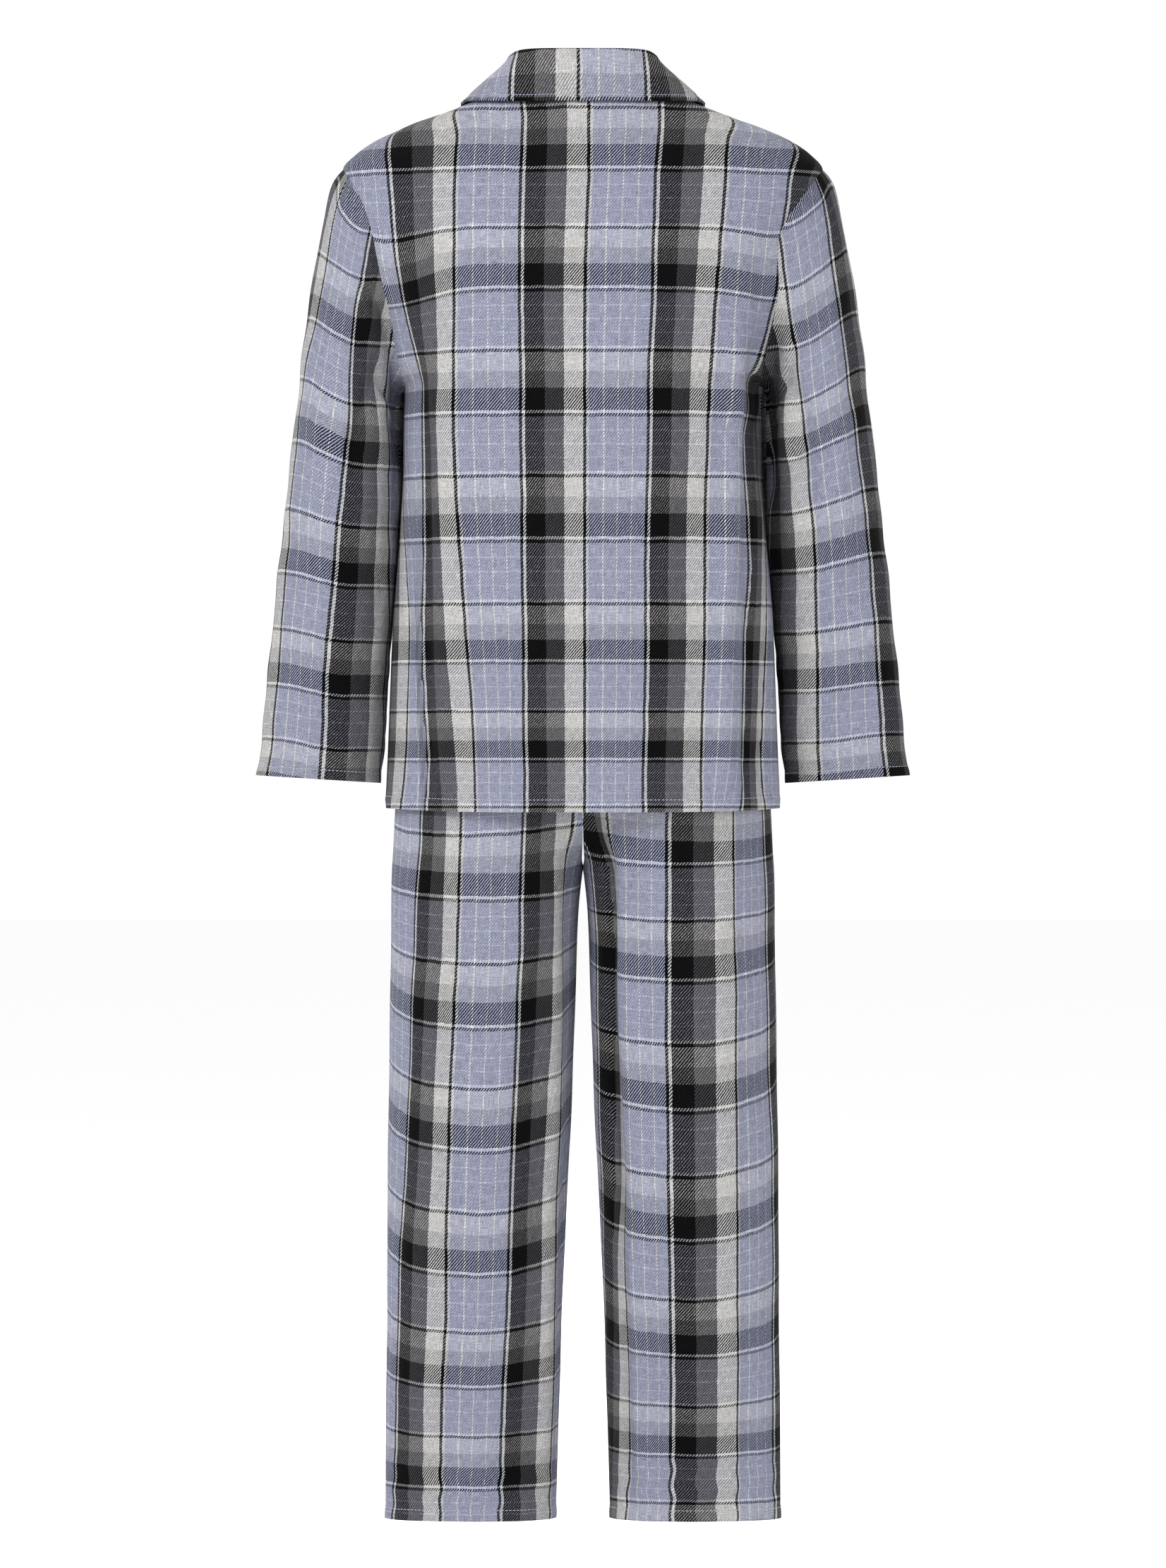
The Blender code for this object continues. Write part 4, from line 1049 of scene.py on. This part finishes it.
def around_sleeve(grid, outer):
    """Each point's distance round the sleeve from its outer line, as on its flat cloth.

    In the cap it is the distance that the point would have if the tube went on straight up, but
    near the outer line it is the distance over the cloth itself, so the stripes run on there.
    """
    run = arcs(grid, wrapped=True)
    run = run - run[:, outer : outer + 1]
    over_cloth = run.copy()
    grid = closed(grid)
    top = grid[CAP_END_ROW, outer]
    down_x, down_z = unit((grid[2 * CAP_END_ROW, outer] - top)[[0, 2]])
    inward = (grid[..., 0] - top[0]) * down_z - (grid[..., 2] - top[2]) * down_x
    for half in (np.s_[outer::-1], np.s_[outer:]):
        known, at = inward[CAP_END_ROW, half], run[CAP_END_ROW, half]
        order = np.argsort(known)
        for row in range(CAP_END_ROW):
            run[row, half] = np.interp(inward[row, half], known[order], at[order])
    far = ease(np.abs(over_cloth) / OUTER_CLOTH_REACH)
    return over_cloth + (run - over_cloth) * far


def sleeve(side):
    """A tube from the armhole to the cuff. Its columns start under the arm, and the front is first."""
    armhole = np.concatenate([armhole_line(BACK), armhole_line(FRONT)[-2:0:-1]])
    rings = [armhole]
    for number, ring in enumerate(SLEEVE, start=1):
        made = sleeve_ring(ring, len(armhole))
        mix = ease(number / CAP_RINGS)
        moved = armhole + made.mean(axis=0) - armhole.mean(axis=0)
        rings.append((1 - mix) * moved + mix * made)
    outer = len(armhole) // 2
    grid = np.roll(smooth_rows(rings, SLEEVE_FACES), outer, axis=1)
    grid = resting_on_body(on_side(pushed(on_side(grid, side)), side))
    run = around_sleeve(grid, outer)
    around = run[:, :-1]
    share = np.linspace(0, 1, len(grid))
    depth = share[:, None] * np.linalg.norm(grid[-1, outer] - grid[0, outer])
    heights = fold_heights(around, -depth, SLEEVE_FOLDS[side])
    heights += soft_waves(around, depth, SLEEVE_WAVES)
    heights += fold_heights(grid[..., 0], grid[..., 2], ARMPIT_FOLDS[side]) * behind(grid[..., 1])
    heights *= ease(edge_distance(grid, "top") / ARMHOLE_FADE)
    grid = on_side(grid, side)
    outward = grid - grid.mean(axis=1, keepdims=True)
    piece = Cloth("sleeve_" + SIDE_NAMES[side], grid, outward, wrapped=True, seams=("top",))
    piece.fold(heights)
    piece.turn_hem(SLEEVE_HEM_STITCH)
    piece.run = run
    piece.level = share
    return piece


def collar_section(seam, run, position):
    """The collar's section at this distance along the neck seam, from the seam to its edge."""
    upright, flat = np.array([0, 0, 1]), np.array([1, 1, 0])
    form = curves(COLLAR)
    x, y, up = form.edge_x(position), form.edge_y(position), form.roll_up(position)
    base = at_distance(seam, run, position)
    inward = unit(-base * flat)
    base = base + inward * (COLLAR_CLOTH + SEAM_GAP) + upright * SEAM_GAP
    edge = on_torso(x, torso_top(x, y), BACK if y > 0 else FRONT, form.edge_lift(position))
    roll = base + upright * up + inward * up * COLLAR_LEAN
    outward = unit((edge - roll) * flat)
    over = roll + (outward - upright * ROLL_TOP) * COLLAR_ROLL
    swell = unit(outward + upright * BULGE_UP) * FALL_BULGE
    return [
        base,
        (base + roll) / 2,
        roll - upright * STAND_END * COLLAR_ROLL,
        roll + (outward * ROLL_TOP + upright * ROLL_RISE) * COLLAR_ROLL,
        over,
        over + (edge - over) / 3 + swell,
        over + (edge - over) * 2 / 3 + swell,
        edge,
    ]


def collar():
    """The stand up from the neck seam, the roll, and the fall out over the shoulders."""
    front_seam = neck_line(-OVERLAP, front_top_z, FRONT)[-2::-1]
    seam = np.concatenate([neck_line(0, back_top_z, BACK), front_seam])
    run = distances(seam)
    positions = np.linspace(0, COLLAR[-1].along, HALF_COLLAR_FACES + 1)
    sections = np.array([collar_section(seam, run, position) for position in positions])
    half = np.swapaxes(smooth_rows(np.swapaxes(sections, 0, 1), COLLAR_FACES_ACROSS), 0, 1)
    grid = np.concatenate([mirrored(half)[:0:-1], half])
    above_fall = np.zeros_like(grid)
    above_fall[:, -2:, 2] = 1
    piece = Cloth("collar", grid, above_fall, cloth=COLLAR_CLOTH)
    to_edge, to_ends = edge_distance(grid, "last"), edge_distance(grid, "top", "bottom")
    piece.fold(-stitch_pull(to_edge - COLLAR_STITCH) - stitch_pull(to_ends - COLLAR_STITCH))
    return piece


def lapel(side, shape):
    """The top of a front, turned back on itself so that its facing shows."""
    s = np.linspace(0, 1, LAPEL_FACES + 1)[:, None]
    t = np.linspace(0, 1, LAPEL_FACES)[None, :]
    fold_x = shape.gorge_x + (shape.fold_end_x - shape.gorge_x) * s
    fold_z = shape.gorge_z + (shape.fold_end_z - shape.gorge_z) * s
    edge_x = shape.tip_x + (shape.edge_end_x - shape.tip_x) * s
    edge_z = shape.tip_z + (shape.edge_end_z - shape.tip_z) * s
    x = fold_x + (edge_x - fold_x) * t
    z = fold_z + (edge_z - fold_z) * t
    lift = LAPEL_LIFT + LAPEL_ROLL * (1 - t) ** 2 * (1 - s * LAPEL_ROLL_FALLS)
    if side == LEFT:
        lift = lift + lap_lift(x)
    grid = on_side(on_torso(x, z, FRONT, lift), side)
    return Cloth("lapel_" + SIDE_NAMES[side], grid, (0, FRONT, 0))


def trouser_row(z, turned_at_seam, side, fractions):
    """Half a trouser section, from the outside seam to the centre or inside one."""
    level = np.full(FINE, z)
    hip_x = hips.half_width(z) * np.cos(np.linspace(0, math.pi / 2, FINE))
    turn = np.linspace(0, math.pi, FINE)
    middle, half = (leg.outer(z) + leg.inner(z)) / 2, (leg.outer(z) - leg.inner(z)) / 2
    leg_x = middle + rounded(np.cos(turn), LEG_ROUNDNESS) * half
    leg_y = side * reach_of(leg, z, side) * rounded(np.sin(turn), LEG_ROUNDNESS)
    hip_row = along(form_line(hips, hip_x, level, side), fractions)
    leg_row = along(np.stack([leg_x, leg_y, level], axis=1), fractions)
    turned_elsewhere = ease((TURN_START_Z - z) / (TURN_START_Z - TURN_END_Z))
    near_seam = fractions**NEAR_SEAM_POWER
    turned = turned_elsewhere + (turned_at_seam - turned_elsewhere) * near_seam
    return hip_row + (leg_row - hip_row) * turned[:, None]


def hip_levels():
    """Levels from the waist to the crotch that step evenly along the centre seam."""
    z = np.linspace(WAIST_Z, CROTCH_Z, FINE)
    y = hips.back(z) * (1 - crotch_turned(z))
    return stepped(np.stack([y, z], axis=1), HIP_FACES_DOWN)[:, 1]


def trouser_panel(side_x, side_y):
    fractions = np.linspace(0, 1, LEG_FACES_ACROSS + 1)
    rows = [trouser_row(z, crotch_turned(z), side_y, fractions) for z in hip_levels()]
    for row in rows:
        row[-1, 0] = 0
    for z in np.linspace(CROTCH_Z, TROUSER_HEM_Z, LEG_FACES_DOWN + 1)[1:]:
        rows.append(trouser_row(z, 1, side_y, fractions))
    grid = np.array(rows)
    to_seams = edge_distance(grid, "first", "last")
    below_hips = ease((LEG_FOLDS_FROM_Z - grid[..., 2]) / LEG_FOLDS_EASE)
    away = ease(to_seams / SEAM_FADE) * below_hips
    folds = LEG_FOLDS[side_x * side_y]
    heights = creases(grid, folds, LEG_WAVES, away, to_seams, LEG_SEAM_DIP * below_hips)
    name = "trouser_" + FACE_NAMES[side_y] + "_" + SIDE_NAMES[side_x]
    seams = ("top", "first", "last")
    piece = Cloth(name, on_side(grid, side_x), (0, side_y, 0), seams=seams)
    piece.fold(heights)
    piece.turn_hem(TROUSER_HEM_STITCH)
    return piece


def waistband(legs):
    """A ring over the tops of the four leg panels, gathered by the elastic in its casing."""
    left_back, right_back, left_front, right_front = (piece.grid[0] for piece in legs)
    ring = np.concatenate(
        [left_back[:-1], right_back[:0:-1], right_front[:-1], left_front[:0:-1]]
    )
    top = ring.copy()
    top[:, 2] = WAISTBAND_TOP_Z
    top[:, 0] *= hips.half_width(WAISTBAND_TOP_Z) / hips.half_width(WAIST_Z)
    top[:, 1] *= hips.back(WAISTBAND_TOP_Z) / hips.back(WAIST_Z)
    share = np.linspace(0, 1, WAISTBAND_FACES_DOWN + 1)[:, None, None]
    grid = top + (ring - top) * share
    outward = grid - grid.mean(axis=1, keepdims=True)
    seams = ("bottom",)
    piece = Cloth("waistband", grid, outward, wrapped=True, seams=seams, cloth=WAISTBAND_CLOTH)
    turn = 2 * math.pi * piece.run[:, :-1] / piece.run[:, -1:]
    gathers = -GATHER_DEPTH * (1 - np.cos(GATHERS * turn)) / 2
    piece.fold(gathers * np.sin(math.pi * share[..., 0]))
    piece.across, piece.down = piece.run, -closed(grid)[..., 2]
    return piece


def stripe_distances(piece, rows, places):
    """How far across the flat cloth each point is, from where the stripes lie at each level."""
    lies = np.stack([curve(piece.level) for curve in vars(curves(rows)).values()], axis=1)
    order = np.argsort(lies[0])
    lies, places = lies[:, order], np.array(places, float)[order]
    beyond = STRIPES_BEYOND * np.sign(places[-1] - places[0])
    lies = np.concatenate([lies[:, :1] - STRIPES_BEYOND, lies, lies[:, -1:] + STRIPES_BEYOND], axis=1)
    places = np.concatenate([[places[0] - beyond], places, [places[-1] + beyond]])
    return np.array([np.interp(at, lie, places) for at, lie in zip(piece.run, lies)])


def lay_body(back, left, right):
    weft = curves(JACKET_WEFT).down
    x, z = back.plain[..., 0], back.plain[..., 2]
    drooped = z.copy()
    for droop in BACK_DROOPS:
        off = np.hypot((x - droop.x) / droop.width, (z - droop.z) / droop.height)
        drooped += droop.drop * bell(off)
    back.across, back.down = stripe_distances(back, BACK_STRIPES, BACK_PLACES), weft(drooped)
    left.across, left.down = left.run - FRONT_START, weft(left.plain[..., 2])
    right.across, right.down = FRONT_START + WARP_REPEAT / 2 - right.run, weft(right.plain[..., 2])


def lay_sleeve(piece, side):
    z = closed(piece.plain)[..., 2]
    reach = SLEEVE_LEAN_REACH[side]
    outwards = reach + (1 - reach) * np.cos(math.pi * np.abs(piece.run) / piece.run[:, -1:])
    z = z - curves(SLEEVE_LEAN[side]).rise(z) * ease(outwards)
    piece.across = stripe_distances(piece, SLEEVE_STRIPES[side], SLEEVE_PLACES[side])
    piece.down = curves(SLEEVE_WEFT[side]).down(z)


def lay_leg(piece, side_x, side_y):
    z = piece.plain[..., 2]
    depth = 1 if side_y == BACK else FRONT_SAG_SHARE
    sagging = depth * np.sin(math.pi * piece.run / piece.run[:, -1:]) - 1
    piece.down = curves(LEG_WEFT[side_x]).down(z + curves(LEG_SAG).sag(z) * sagging)
    if side_y == BACK:
        across = stripe_distances(piece, LEG_STRIPES[side_x], LEG_PLACES[side_x])
    else:
        across = side_x * (FRONT_LEG_START - piece.run)
    above_hem = z - TROUSER_HEM_Z
    wobble = np.sin(above_hem * 2 * math.pi / WOBBLE_WAVE + piece.run / WOBBLE_SHIFT)
    piece.across = across + WOBBLE_SIZE * wobble * bell((above_hem - WOBBLE_START) / WOBBLE_REACH)


def lay_collar(piece):
    """The stripes run straight down from the roll, and the collar's ends cut across them."""
    line = arcs(np.swapaxes(piece.plain, 0, 1)).T
    piece.across = COLLAR_PAIR_X - (line - line[len(line) // 2])
    piece.down = COLLAR_EDGE_DOWN - COLLAR_DOWN_SCALE * edge_distance(piece.plain, "last")


def lay_lapel(piece):
    """Straight across and down, as no lapel is seen from behind."""
    piece.across = piece.run + FRONT_START
    piece.down = LAPEL_TOP_Z - piece.plain[..., 2]


def new_mesh(name, points, faces, material):
    """A smooth mesh from points in millimetres."""
    data = bpy.data.meshes.new(name)
    data.from_pydata((np.array(points) * MM).tolist(), [], faces)
    data.shade_smooth()
    data.materials.append(material)
    return data


def wall_quads(rows, across, wrapped):
    """Quads over a grid of corners, over the same grid one layer further in, and round the rim."""
    layer = rows * across
    corner = np.arange(layer).reshape(rows, across)
    around = [corner[:-1, :-1], corner[:-1, 1:], corner[1:, 1:], corner[1:, :-1]]
    outer = np.stack(around, axis=-1).reshape(-1, 4)
    rims = [(corner[0, :-1], corner[0, 1:]), (corner[-1, 1:], corner[-1, :-1])]
    if not wrapped:
        rims += [(corner[1:, 0], corner[:-1, 0]), (corner[:-1, -1], corner[1:, -1])]
    quads = [outer, outer[:, ::-1] + layer]
    for start, end in rims:
        quads.append(np.stack([end, start, start + layer, end + layer], axis=-1))
    return np.concatenate(quads)


def cloth_mesh(piece, material):
    """The closed wall between a piece's outer face and the same face moved in, with its map."""
    outer_points = piece.grid + piece.parting
    inner_points = outer_points - piece.thickness[..., None] * piece.normals
    rows, columns = piece.grid.shape[:2]
    across = columns + 1 if piece.wrapped else columns
    quads = wall_quads(rows, across, piece.wrapped)
    if not piece.turned:
        quads = quads[:, ::-1]
    side, place = np.divmod(quads, rows * across)
    vertex = (side * rows + place // across) * columns + (place % across) % columns
    points = np.concatenate([outer_points, inner_points]).reshape(-1, 3)
    data = new_mesh(piece.name, points, vertex.tolist(), material)
    places = np.stack([piece.across / WARP_REPEAT, -piece.down / WEFT_REPEAT], axis=-1)
    corners = places.reshape(-1, 2)[place.reshape(-1)]
    data.uv_layers.new(name="Cloth").uv.foreach_set("vector", corners.astype(np.float32).ravel())
    data.set_sharp_from_angle(angle=math.radians(SHARP_DEGREES))
    return data


def add_object(name, data):
    made = bpy.data.objects.new(name, data)
    bpy.context.scene.collection.objects.link(made)
    return made


class Tubes:
    """Many small closed tubes, for one mesh."""

    def __init__(self):
        self.points = []
        self.faces = []

    def add(self, sections):
        """A tube through sections: each a middle, two directions across the tube, and a radius."""
        first = len(self.points)
        for middle, side, up, radius in sections:
            for angle in np.linspace(0, 2 * math.pi, STITCH_SIDES, endpoint=False):
                out = math.cos(angle) * side + math.sin(angle) * up
                self.points.append(middle + radius * out)
        last = len(self.points) - STITCH_SIDES
        for start in range(first, last, STITCH_SIDES):
            for k in range(STITCH_SIDES):
                a, b = start + k, start + (k + 1) % STITCH_SIDES
                self.faces.append((b, a, a + STITCH_SIDES, b + STITCH_SIDES))
        self.faces.append(tuple(range(first, first + STITCH_SIDES)))
        self.faces.append(tuple(range(last, last + STITCH_SIDES))[::-1])

    def follow(self, path, radius, facing):
        """A tube of even thickness along a path."""
        sections = []
        for middle, tangent in zip(path, unit(np.gradient(path, axis=0))):
            side = unit(np.cross(facing, tangent))
            sections.append((middle, side, np.cross(tangent, side), radius))
        self.add(sections)

    def stitch(self, line, facing):
        """A row of stitches along a line of points, on cloth that faces these ways."""
        run = distances(line)
        for start in np.arange(STITCH_PITCH, run[-1] - STITCH_PITCH, STITCH_PITCH):
            sections = []
            for section in STITCH:
                at = start + section.along * STITCH_LENGTH
                middle, ahead = at_distance(line, run, [at, at + 1])
                up = unit(at_distance(facing, run, at))
                side = unit(np.cross(up, ahead - middle))
                sections.append((middle, side, up, STITCH_RADIUS * section.radius))
            self.add(sections)


def line_at(piece, edge, distance):
    """A line on a piece's outer face at this distance from one of its edges, and its facings."""
    lines, normals = from_edge(piece.grid + piece.parting, edge), from_edge(piece.normals, edge)
    points, facing = [], []
    for line, run, normal in zip(lines, arcs(lines), normals):
        points.append(at_distance(line, run, distance))
        facing.append(at_distance(normal, run, distance))
    if piece.wrapped:
        points.append(points[0])
        facing.append(facing[0])
    return np.array(points), unit(np.array(facing))


def topstitching(pieces):
    """Every line of stitches, by the name of the object that holds them."""
    body = ["jacket_back", "jacket_front_left", "jacket_front_right"]
    lines = {"jacket_stitching": [line_at(pieces[name], "bottom", JACKET_HEM_STITCH) for name in body]}
    for name in body[1:]:
        lines["jacket_stitching"].append(line_at(pieces[name], "first", FACING_WIDTH))
        lines["jacket_stitching"].append(line_at(pieces[name], "first", COLLAR_STITCH))
    for name in ("sleeve_left", "sleeve_right"):
        lines[name + "_stitching"] = [line_at(pieces[name], "bottom", SLEEVE_HEM_STITCH)]
    edges = ("last", "top", "bottom")
    lines["collar_stitching"] = [line_at(pieces["collar"], edge, COLLAR_STITCH) for edge in edges]
    for name in ("lapel_left", "lapel_right"):
        lines[name + "_stitching"] = [line_at(pieces[name], "last", COLLAR_STITCH)]
    legs = [piece for name, piece in pieces.items() if name.startswith("trouser")]
    lines["trouser_stitching"] = [line_at(piece, "bottom", TROUSER_HEM_STITCH) for piece in legs]
    return lines


def button_sewing():
    """Two bars of thread through each button's holes, and the buttonhole's stitches beside it."""
    tubes = Tubes()
    right = np.array([1.0, 0, 0])
    for z in BUTTON_Z:
        foot = on_torso(0, z, FRONT, LAP_LIFT + SEAM_GAP)
        facing = unit(on_torso(0, z, FRONT, LAP_LIFT + BUTTON_PROBE) - foot)
        up = np.cross(facing, right)
        for side in (-1, 1):
            t = np.linspace(0, 1, THREAD_STEPS)
            base = foot + facing * (BUTTON_LIFT - THREAD_RISE) + up * side * THREAD_REACH
            path = base + np.outer(2 * t - 1, right * THREAD_REACH)
            path += np.outer(np.sin(math.pi * t), facing * THREAD_RISE)
            tubes.follow(path, THREAD_RADIUS, facing)
        for x in np.arange(HOLE_START, HOLE_END, HOLE_PITCH):
            for side in (-1, 1):
                ends = (z + side * HOLE_GAP, z + side * HOLE_HALF_WIDTH)
                near, far = (on_torso(x, end, FRONT, lap_lift(x)) for end in ends)
                path = near + np.outer(np.linspace(0, 1, HOLE_STITCH_STEPS), far - near)
                tubes.follow(path, HOLE_STITCH_RADIUS, right)
    return tubes


class Nodes:
    """Short names for making the nodes of one material."""

    def __init__(self, name):
        self.material = bpy.data.materials.new(name)
        self.material.use_nodes = True
        self.tree = self.material.node_tree
        self.shader = self.tree.nodes["Principled BSDF"]

    def fill(self, node, inputs):
        """Links the sockets among these inputs, and sets the numbers and colours."""
        for key, value in inputs.items():
            if isinstance(value, bpy.types.NodeSocket):
                self.tree.links.new(value, node.inputs[key])
            else:
                node.inputs[key].default_value = value

    def add(self, kind, inputs, output=0, **settings):
        """Adds a node with these inputs and settings, and gives one of its outputs."""
        node = self.tree.nodes.new(kind)
        for key, value in settings.items():
            setattr(node, key, value)
        self.fill(node, inputs)
        return node.outputs[output]

    def maths(self, operation, *values):
        return self.add("ShaderNodeMath", dict(enumerate(values)), operation=operation)

    def mix(self, share, first, second):
        inputs = {"Factor": share, 6: first, 7: second}
        return self.add("ShaderNodeMix", inputs, 2, data_type="RGBA")

    def scaled(self, colour, scale):
        return self.add("ShaderNodeVectorMath", {0: colour, "Scale": scale}, operation="SCALE")

    def noise(self, vector, noise):
        inputs = {"Vector": vector, "Scale": (noise.across, noise.down, 1)}
        inputs = {
            "Vector": self.add("ShaderNodeMapping", inputs),
            "Scale": noise.scale,
            "Detail": noise.detail,
            "Roughness": noise.roughness,
        }
        return self.add("ShaderNodeTexNoise", inputs, "Fac")

    def wandering(self, vector, noise, size, place):
        """A place that a noise moves, by up to half of size either way."""
        off = self.maths("SUBTRACT", self.noise(vector, noise), 0.5)
        return self.maths("MULTIPLY_ADD", off, size, place)

    def bands(self, place, bands, repeat):
        """The yarns' colours over one repeat, which goes on for ever."""
        share = self.maths("FLOORED_MODULO", self.maths("DIVIDE", place, repeat), 1.0)
        colour = self.add("ShaderNodeValToRGB", {"Fac": share}, "Color")
        ramp = colour.node.color_ramp
        ramp.interpolation = "CONSTANT"
        for band in bands[1:]:
            ramp.elements.new(band.start / repeat)
        ramp.elements[len(bands)].position = 1
        for element, band in zip(ramp.elements, [*bands, bands[0]]):
            element.color = (*(part**MIX_POWER for part in band.yarn), 1)
        return colour

    def bump(self, height, distance, **under):
        return self.add("ShaderNodeBump", {"Height": height, "Distance": distance, **under})


def flannel():
    """Brushed 2/2 twill: warp and weft bands, each yarn's own unevenness, the nap and its sheen."""
    nodes = Nodes("check flannel")
    cloth = nodes.add("ShaderNodeUVMap", {}, uv_map="Cloth")
    parts = nodes.add("ShaderNodeSeparateXYZ", {0: cloth}).node.outputs
    across = nodes.maths("MULTIPLY", parts[0], WARP_REPEAT)
    down = nodes.maths("MULTIPLY", parts[1], -WEFT_REPEAT)
    in_mm = nodes.add("ShaderNodeCombineXYZ", {0: across, 1: down})

    # Yarns wander a little, so no stripe's edge is ruled.
    warp_place = nodes.wandering(in_mm, WANDER_ACROSS, WANDER, across)
    weft_place = nodes.wandering(in_mm, WANDER_DOWN, WANDER, down)
    warp = nodes.bands(warp_place, WARP_BANDS, WARP_REPEAT)
    weft = nodes.bands(weft_place, WEFT_BANDS, WEFT_REPEAT)

    # The twill line's phase decides how much weft shows at a point.
    slanted = nodes.maths("MULTIPLY_ADD", down, TWILL_SLOPE, across)
    slanted = nodes.wandering(in_mm, TWILL_WAVER, TWILL_WANDER, slanted)
    rib = nodes.maths("COSINE", nodes.maths("MULTIPLY", slanted, 2 * math.pi / TWILL_ACROSS))
    clear = nodes.maths("MAXIMUM", nodes.maths("MULTIPLY", rib, RIB_SHARPNESS), -1.0)
    clear = nodes.maths("MINIMUM", clear, 1.0)
    floats = nodes.wandering(in_mm, FLOATS, FLOAT_RANGE, 1.0)
    shows = nodes.maths("MULTIPLY_ADD", clear, -WEFT_SHARE, WEFT_SHARE)
    colour = nodes.mix(nodes.maths("MULTIPLY", shows, floats), warp, weft)

    # Each yarn is lighter and darker along its length, and loose fibres lie over the whole. The
    # mean of the three noises is a half.
    nap = nodes.noise(in_mm, NAP)
    slubs = nodes.maths("ADD", nodes.noise(in_mm, WARP_SLUB), nodes.noise(in_mm, WEFT_SLUB))
    uneven = nodes.maths("ADD", slubs, nap)
    uneven = nodes.maths("MULTIPLY_ADD", uneven, UNEVENNESS, 1 - 3 * 0.5 * UNEVENNESS)
    lit = {"Color": nodes.scaled(colour, uneven), "Gamma": SCREEN_GAMMA / MIX_POWER}
    colour = nodes.scaled(nodes.add("ShaderNodeGamma", lit), CLOTH_BRIGHTNESS)

    # Relief, coarse to fine: slack in the cloth, the nap, and the twill's ribs.
    slack = nodes.bump(nodes.noise(in_mm, SLACK), SLACK_BUMP)
    fuzzy = nodes.bump(nap, NAP_BUMP, Normal=slack)
    ribbed = nodes.bump(rib, RIB_BUMP, Normal=fuzzy)
    nodes.fill(nodes.shader, {**FLANNEL_SHADER, "Base Color": colour, "Normal": ribbed})
    return nodes.material


def mottled(name, dark, pale, noise, relief, shader):
    """A material of two shades that a noise mixes, with as fine a relief."""
    nodes = Nodes(name)
    mottle = nodes.noise(nodes.add("ShaderNodeTexCoord", {}, "Object"), noise)
    shade = nodes.mix(mottle, dark, pale)
    nodes.fill(nodes.shader, {**shader, "Base Color": shade, "Normal": nodes.bump(mottle, relief)})
    return nodes.material


def camera():
    data = bpy.data.cameras.new("camera")
    data.lens = LENS
    data.sensor_fit = "VERTICAL"
    data.sensor_height = SENSOR
    made = add_object("camera", data)
    made.location = CAMERA_PLACE
    made.rotation_euler = (math.pi / 2, 0, math.pi)
    bpy.context.scene.camera = made


def area_light(light):
    data = bpy.data.lights.new(light.name, "AREA")
    data.size = light.size
    data.energy = light.power
    made = add_object(light.name, data)
    made.location = light.place
    towards = made.location - Vector(LIGHT_TARGET)
    made.rotation_euler = towards.to_track_quat("Z", "Y").to_euler()


def studio():
    scene = bpy.context.scene
    scene.view_settings.view_transform = "Standard"
    scene.view_settings.look = "None"
    world = bpy.data.worlds.new("studio")
    world.use_nodes = True
    sky = world.node_tree.nodes["Background"]
    sky.inputs["Color"].default_value = (1, 1, 1, 1)
    sky.inputs["Strength"].default_value = SKY
    scene.world = world
    for light in LIGHTS:
        area_light(light)
    turn = np.linspace(0, 2 * math.pi, FLOOR_SIDES, endpoint=False)
    ring = [(FLOOR_RADIUS * math.cos(a), FLOOR_RADIUS * math.sin(a), FLOOR_Z) for a in turn]
    data = bpy.data.meshes.new("floor")
    data.from_pydata(ring, [], [tuple(range(FLOOR_SIDES))])
    nodes = Nodes("pale floor")
    nodes.fill(nodes.shader, FLOOR_SHADER)
    data.materials.append(nodes.material)
    add_object("floor", data)


def clothes():
    """Every piece of cloth, by name, sewn to its neighbours and with its stripes laid."""
    body = [jacket_back(), jacket_front(LEFT), jacket_front(RIGHT)]
    share_directions(body)
    sleeves = {side: sleeve(side) for side in (LEFT, RIGHT)}
    jacket = [*body, *sleeves.values()]
    share_directions(jacket)
    part_seams(jacket)
    sides = [(LEFT, BACK), (RIGHT, BACK), (LEFT, FRONT), (RIGHT, FRONT)]
    legs = [trouser_panel(side_x, side_y) for side_x, side_y in sides]
    share_directions(legs)
    belt = waistband(legs)
    part_seams([*legs, belt])
    for piece in legs:
        piece.grid[..., 0] += SEAM_GAP / 2 * np.sign(piece.grid[..., 0].sum())
    fall = collar()
    lapels = [lapel(LEFT, LEFT_LAPEL), lapel(RIGHT, RIGHT_LAPEL)]
    lay_body(*body)
    for side, piece in sleeves.items():
        lay_sleeve(piece, side)
    for piece, (side_x, side_y) in zip(legs, sides):
        lay_leg(piece, side_x, side_y)
    lay_collar(fall)
    for piece in lapels:
        lay_lapel(piece)
    return {piece.name: piece for piece in [*jacket, fall, *lapels, *legs, belt]}


def main():
    cloth = flannel()
    thread = mottled(
        "topstitch thread", THREAD_DARK, THREAD_PALE, THREAD_TWIST, THREAD_BUMP, THREAD_SHADER
    )
    plastic = mottled(
        "button pearl plastic", BUTTON_DARK, BUTTON_PALE, BUTTON_CLOUD, BUTTON_BUMP, BUTTON_SHADER
    )
    pieces = clothes()
    for name, piece in pieces.items():
        made = add_object(name + "_cloth", cloth_mesh(piece, cloth))
        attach(made, "root")
        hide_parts(name)
    for name, lines in topstitching(pieces).items():
        tubes = Tubes()
        for line, facing in lines:
            tubes.stitch(line, facing)
        data = new_mesh(name, tubes.points, tubes.faces, thread)
        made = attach(add_object(name, data), "root")
    tubes = button_sewing()
    data = new_mesh("button_sewing", tubes.points, tubes.faces, thread)
    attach(add_object("button_sewing", data), "root")
    for name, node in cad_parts.items():
        if name.startswith("button"):
            node.data.materials.clear()
            node.data.materials.append(plastic)
    camera()
    studio()


main()
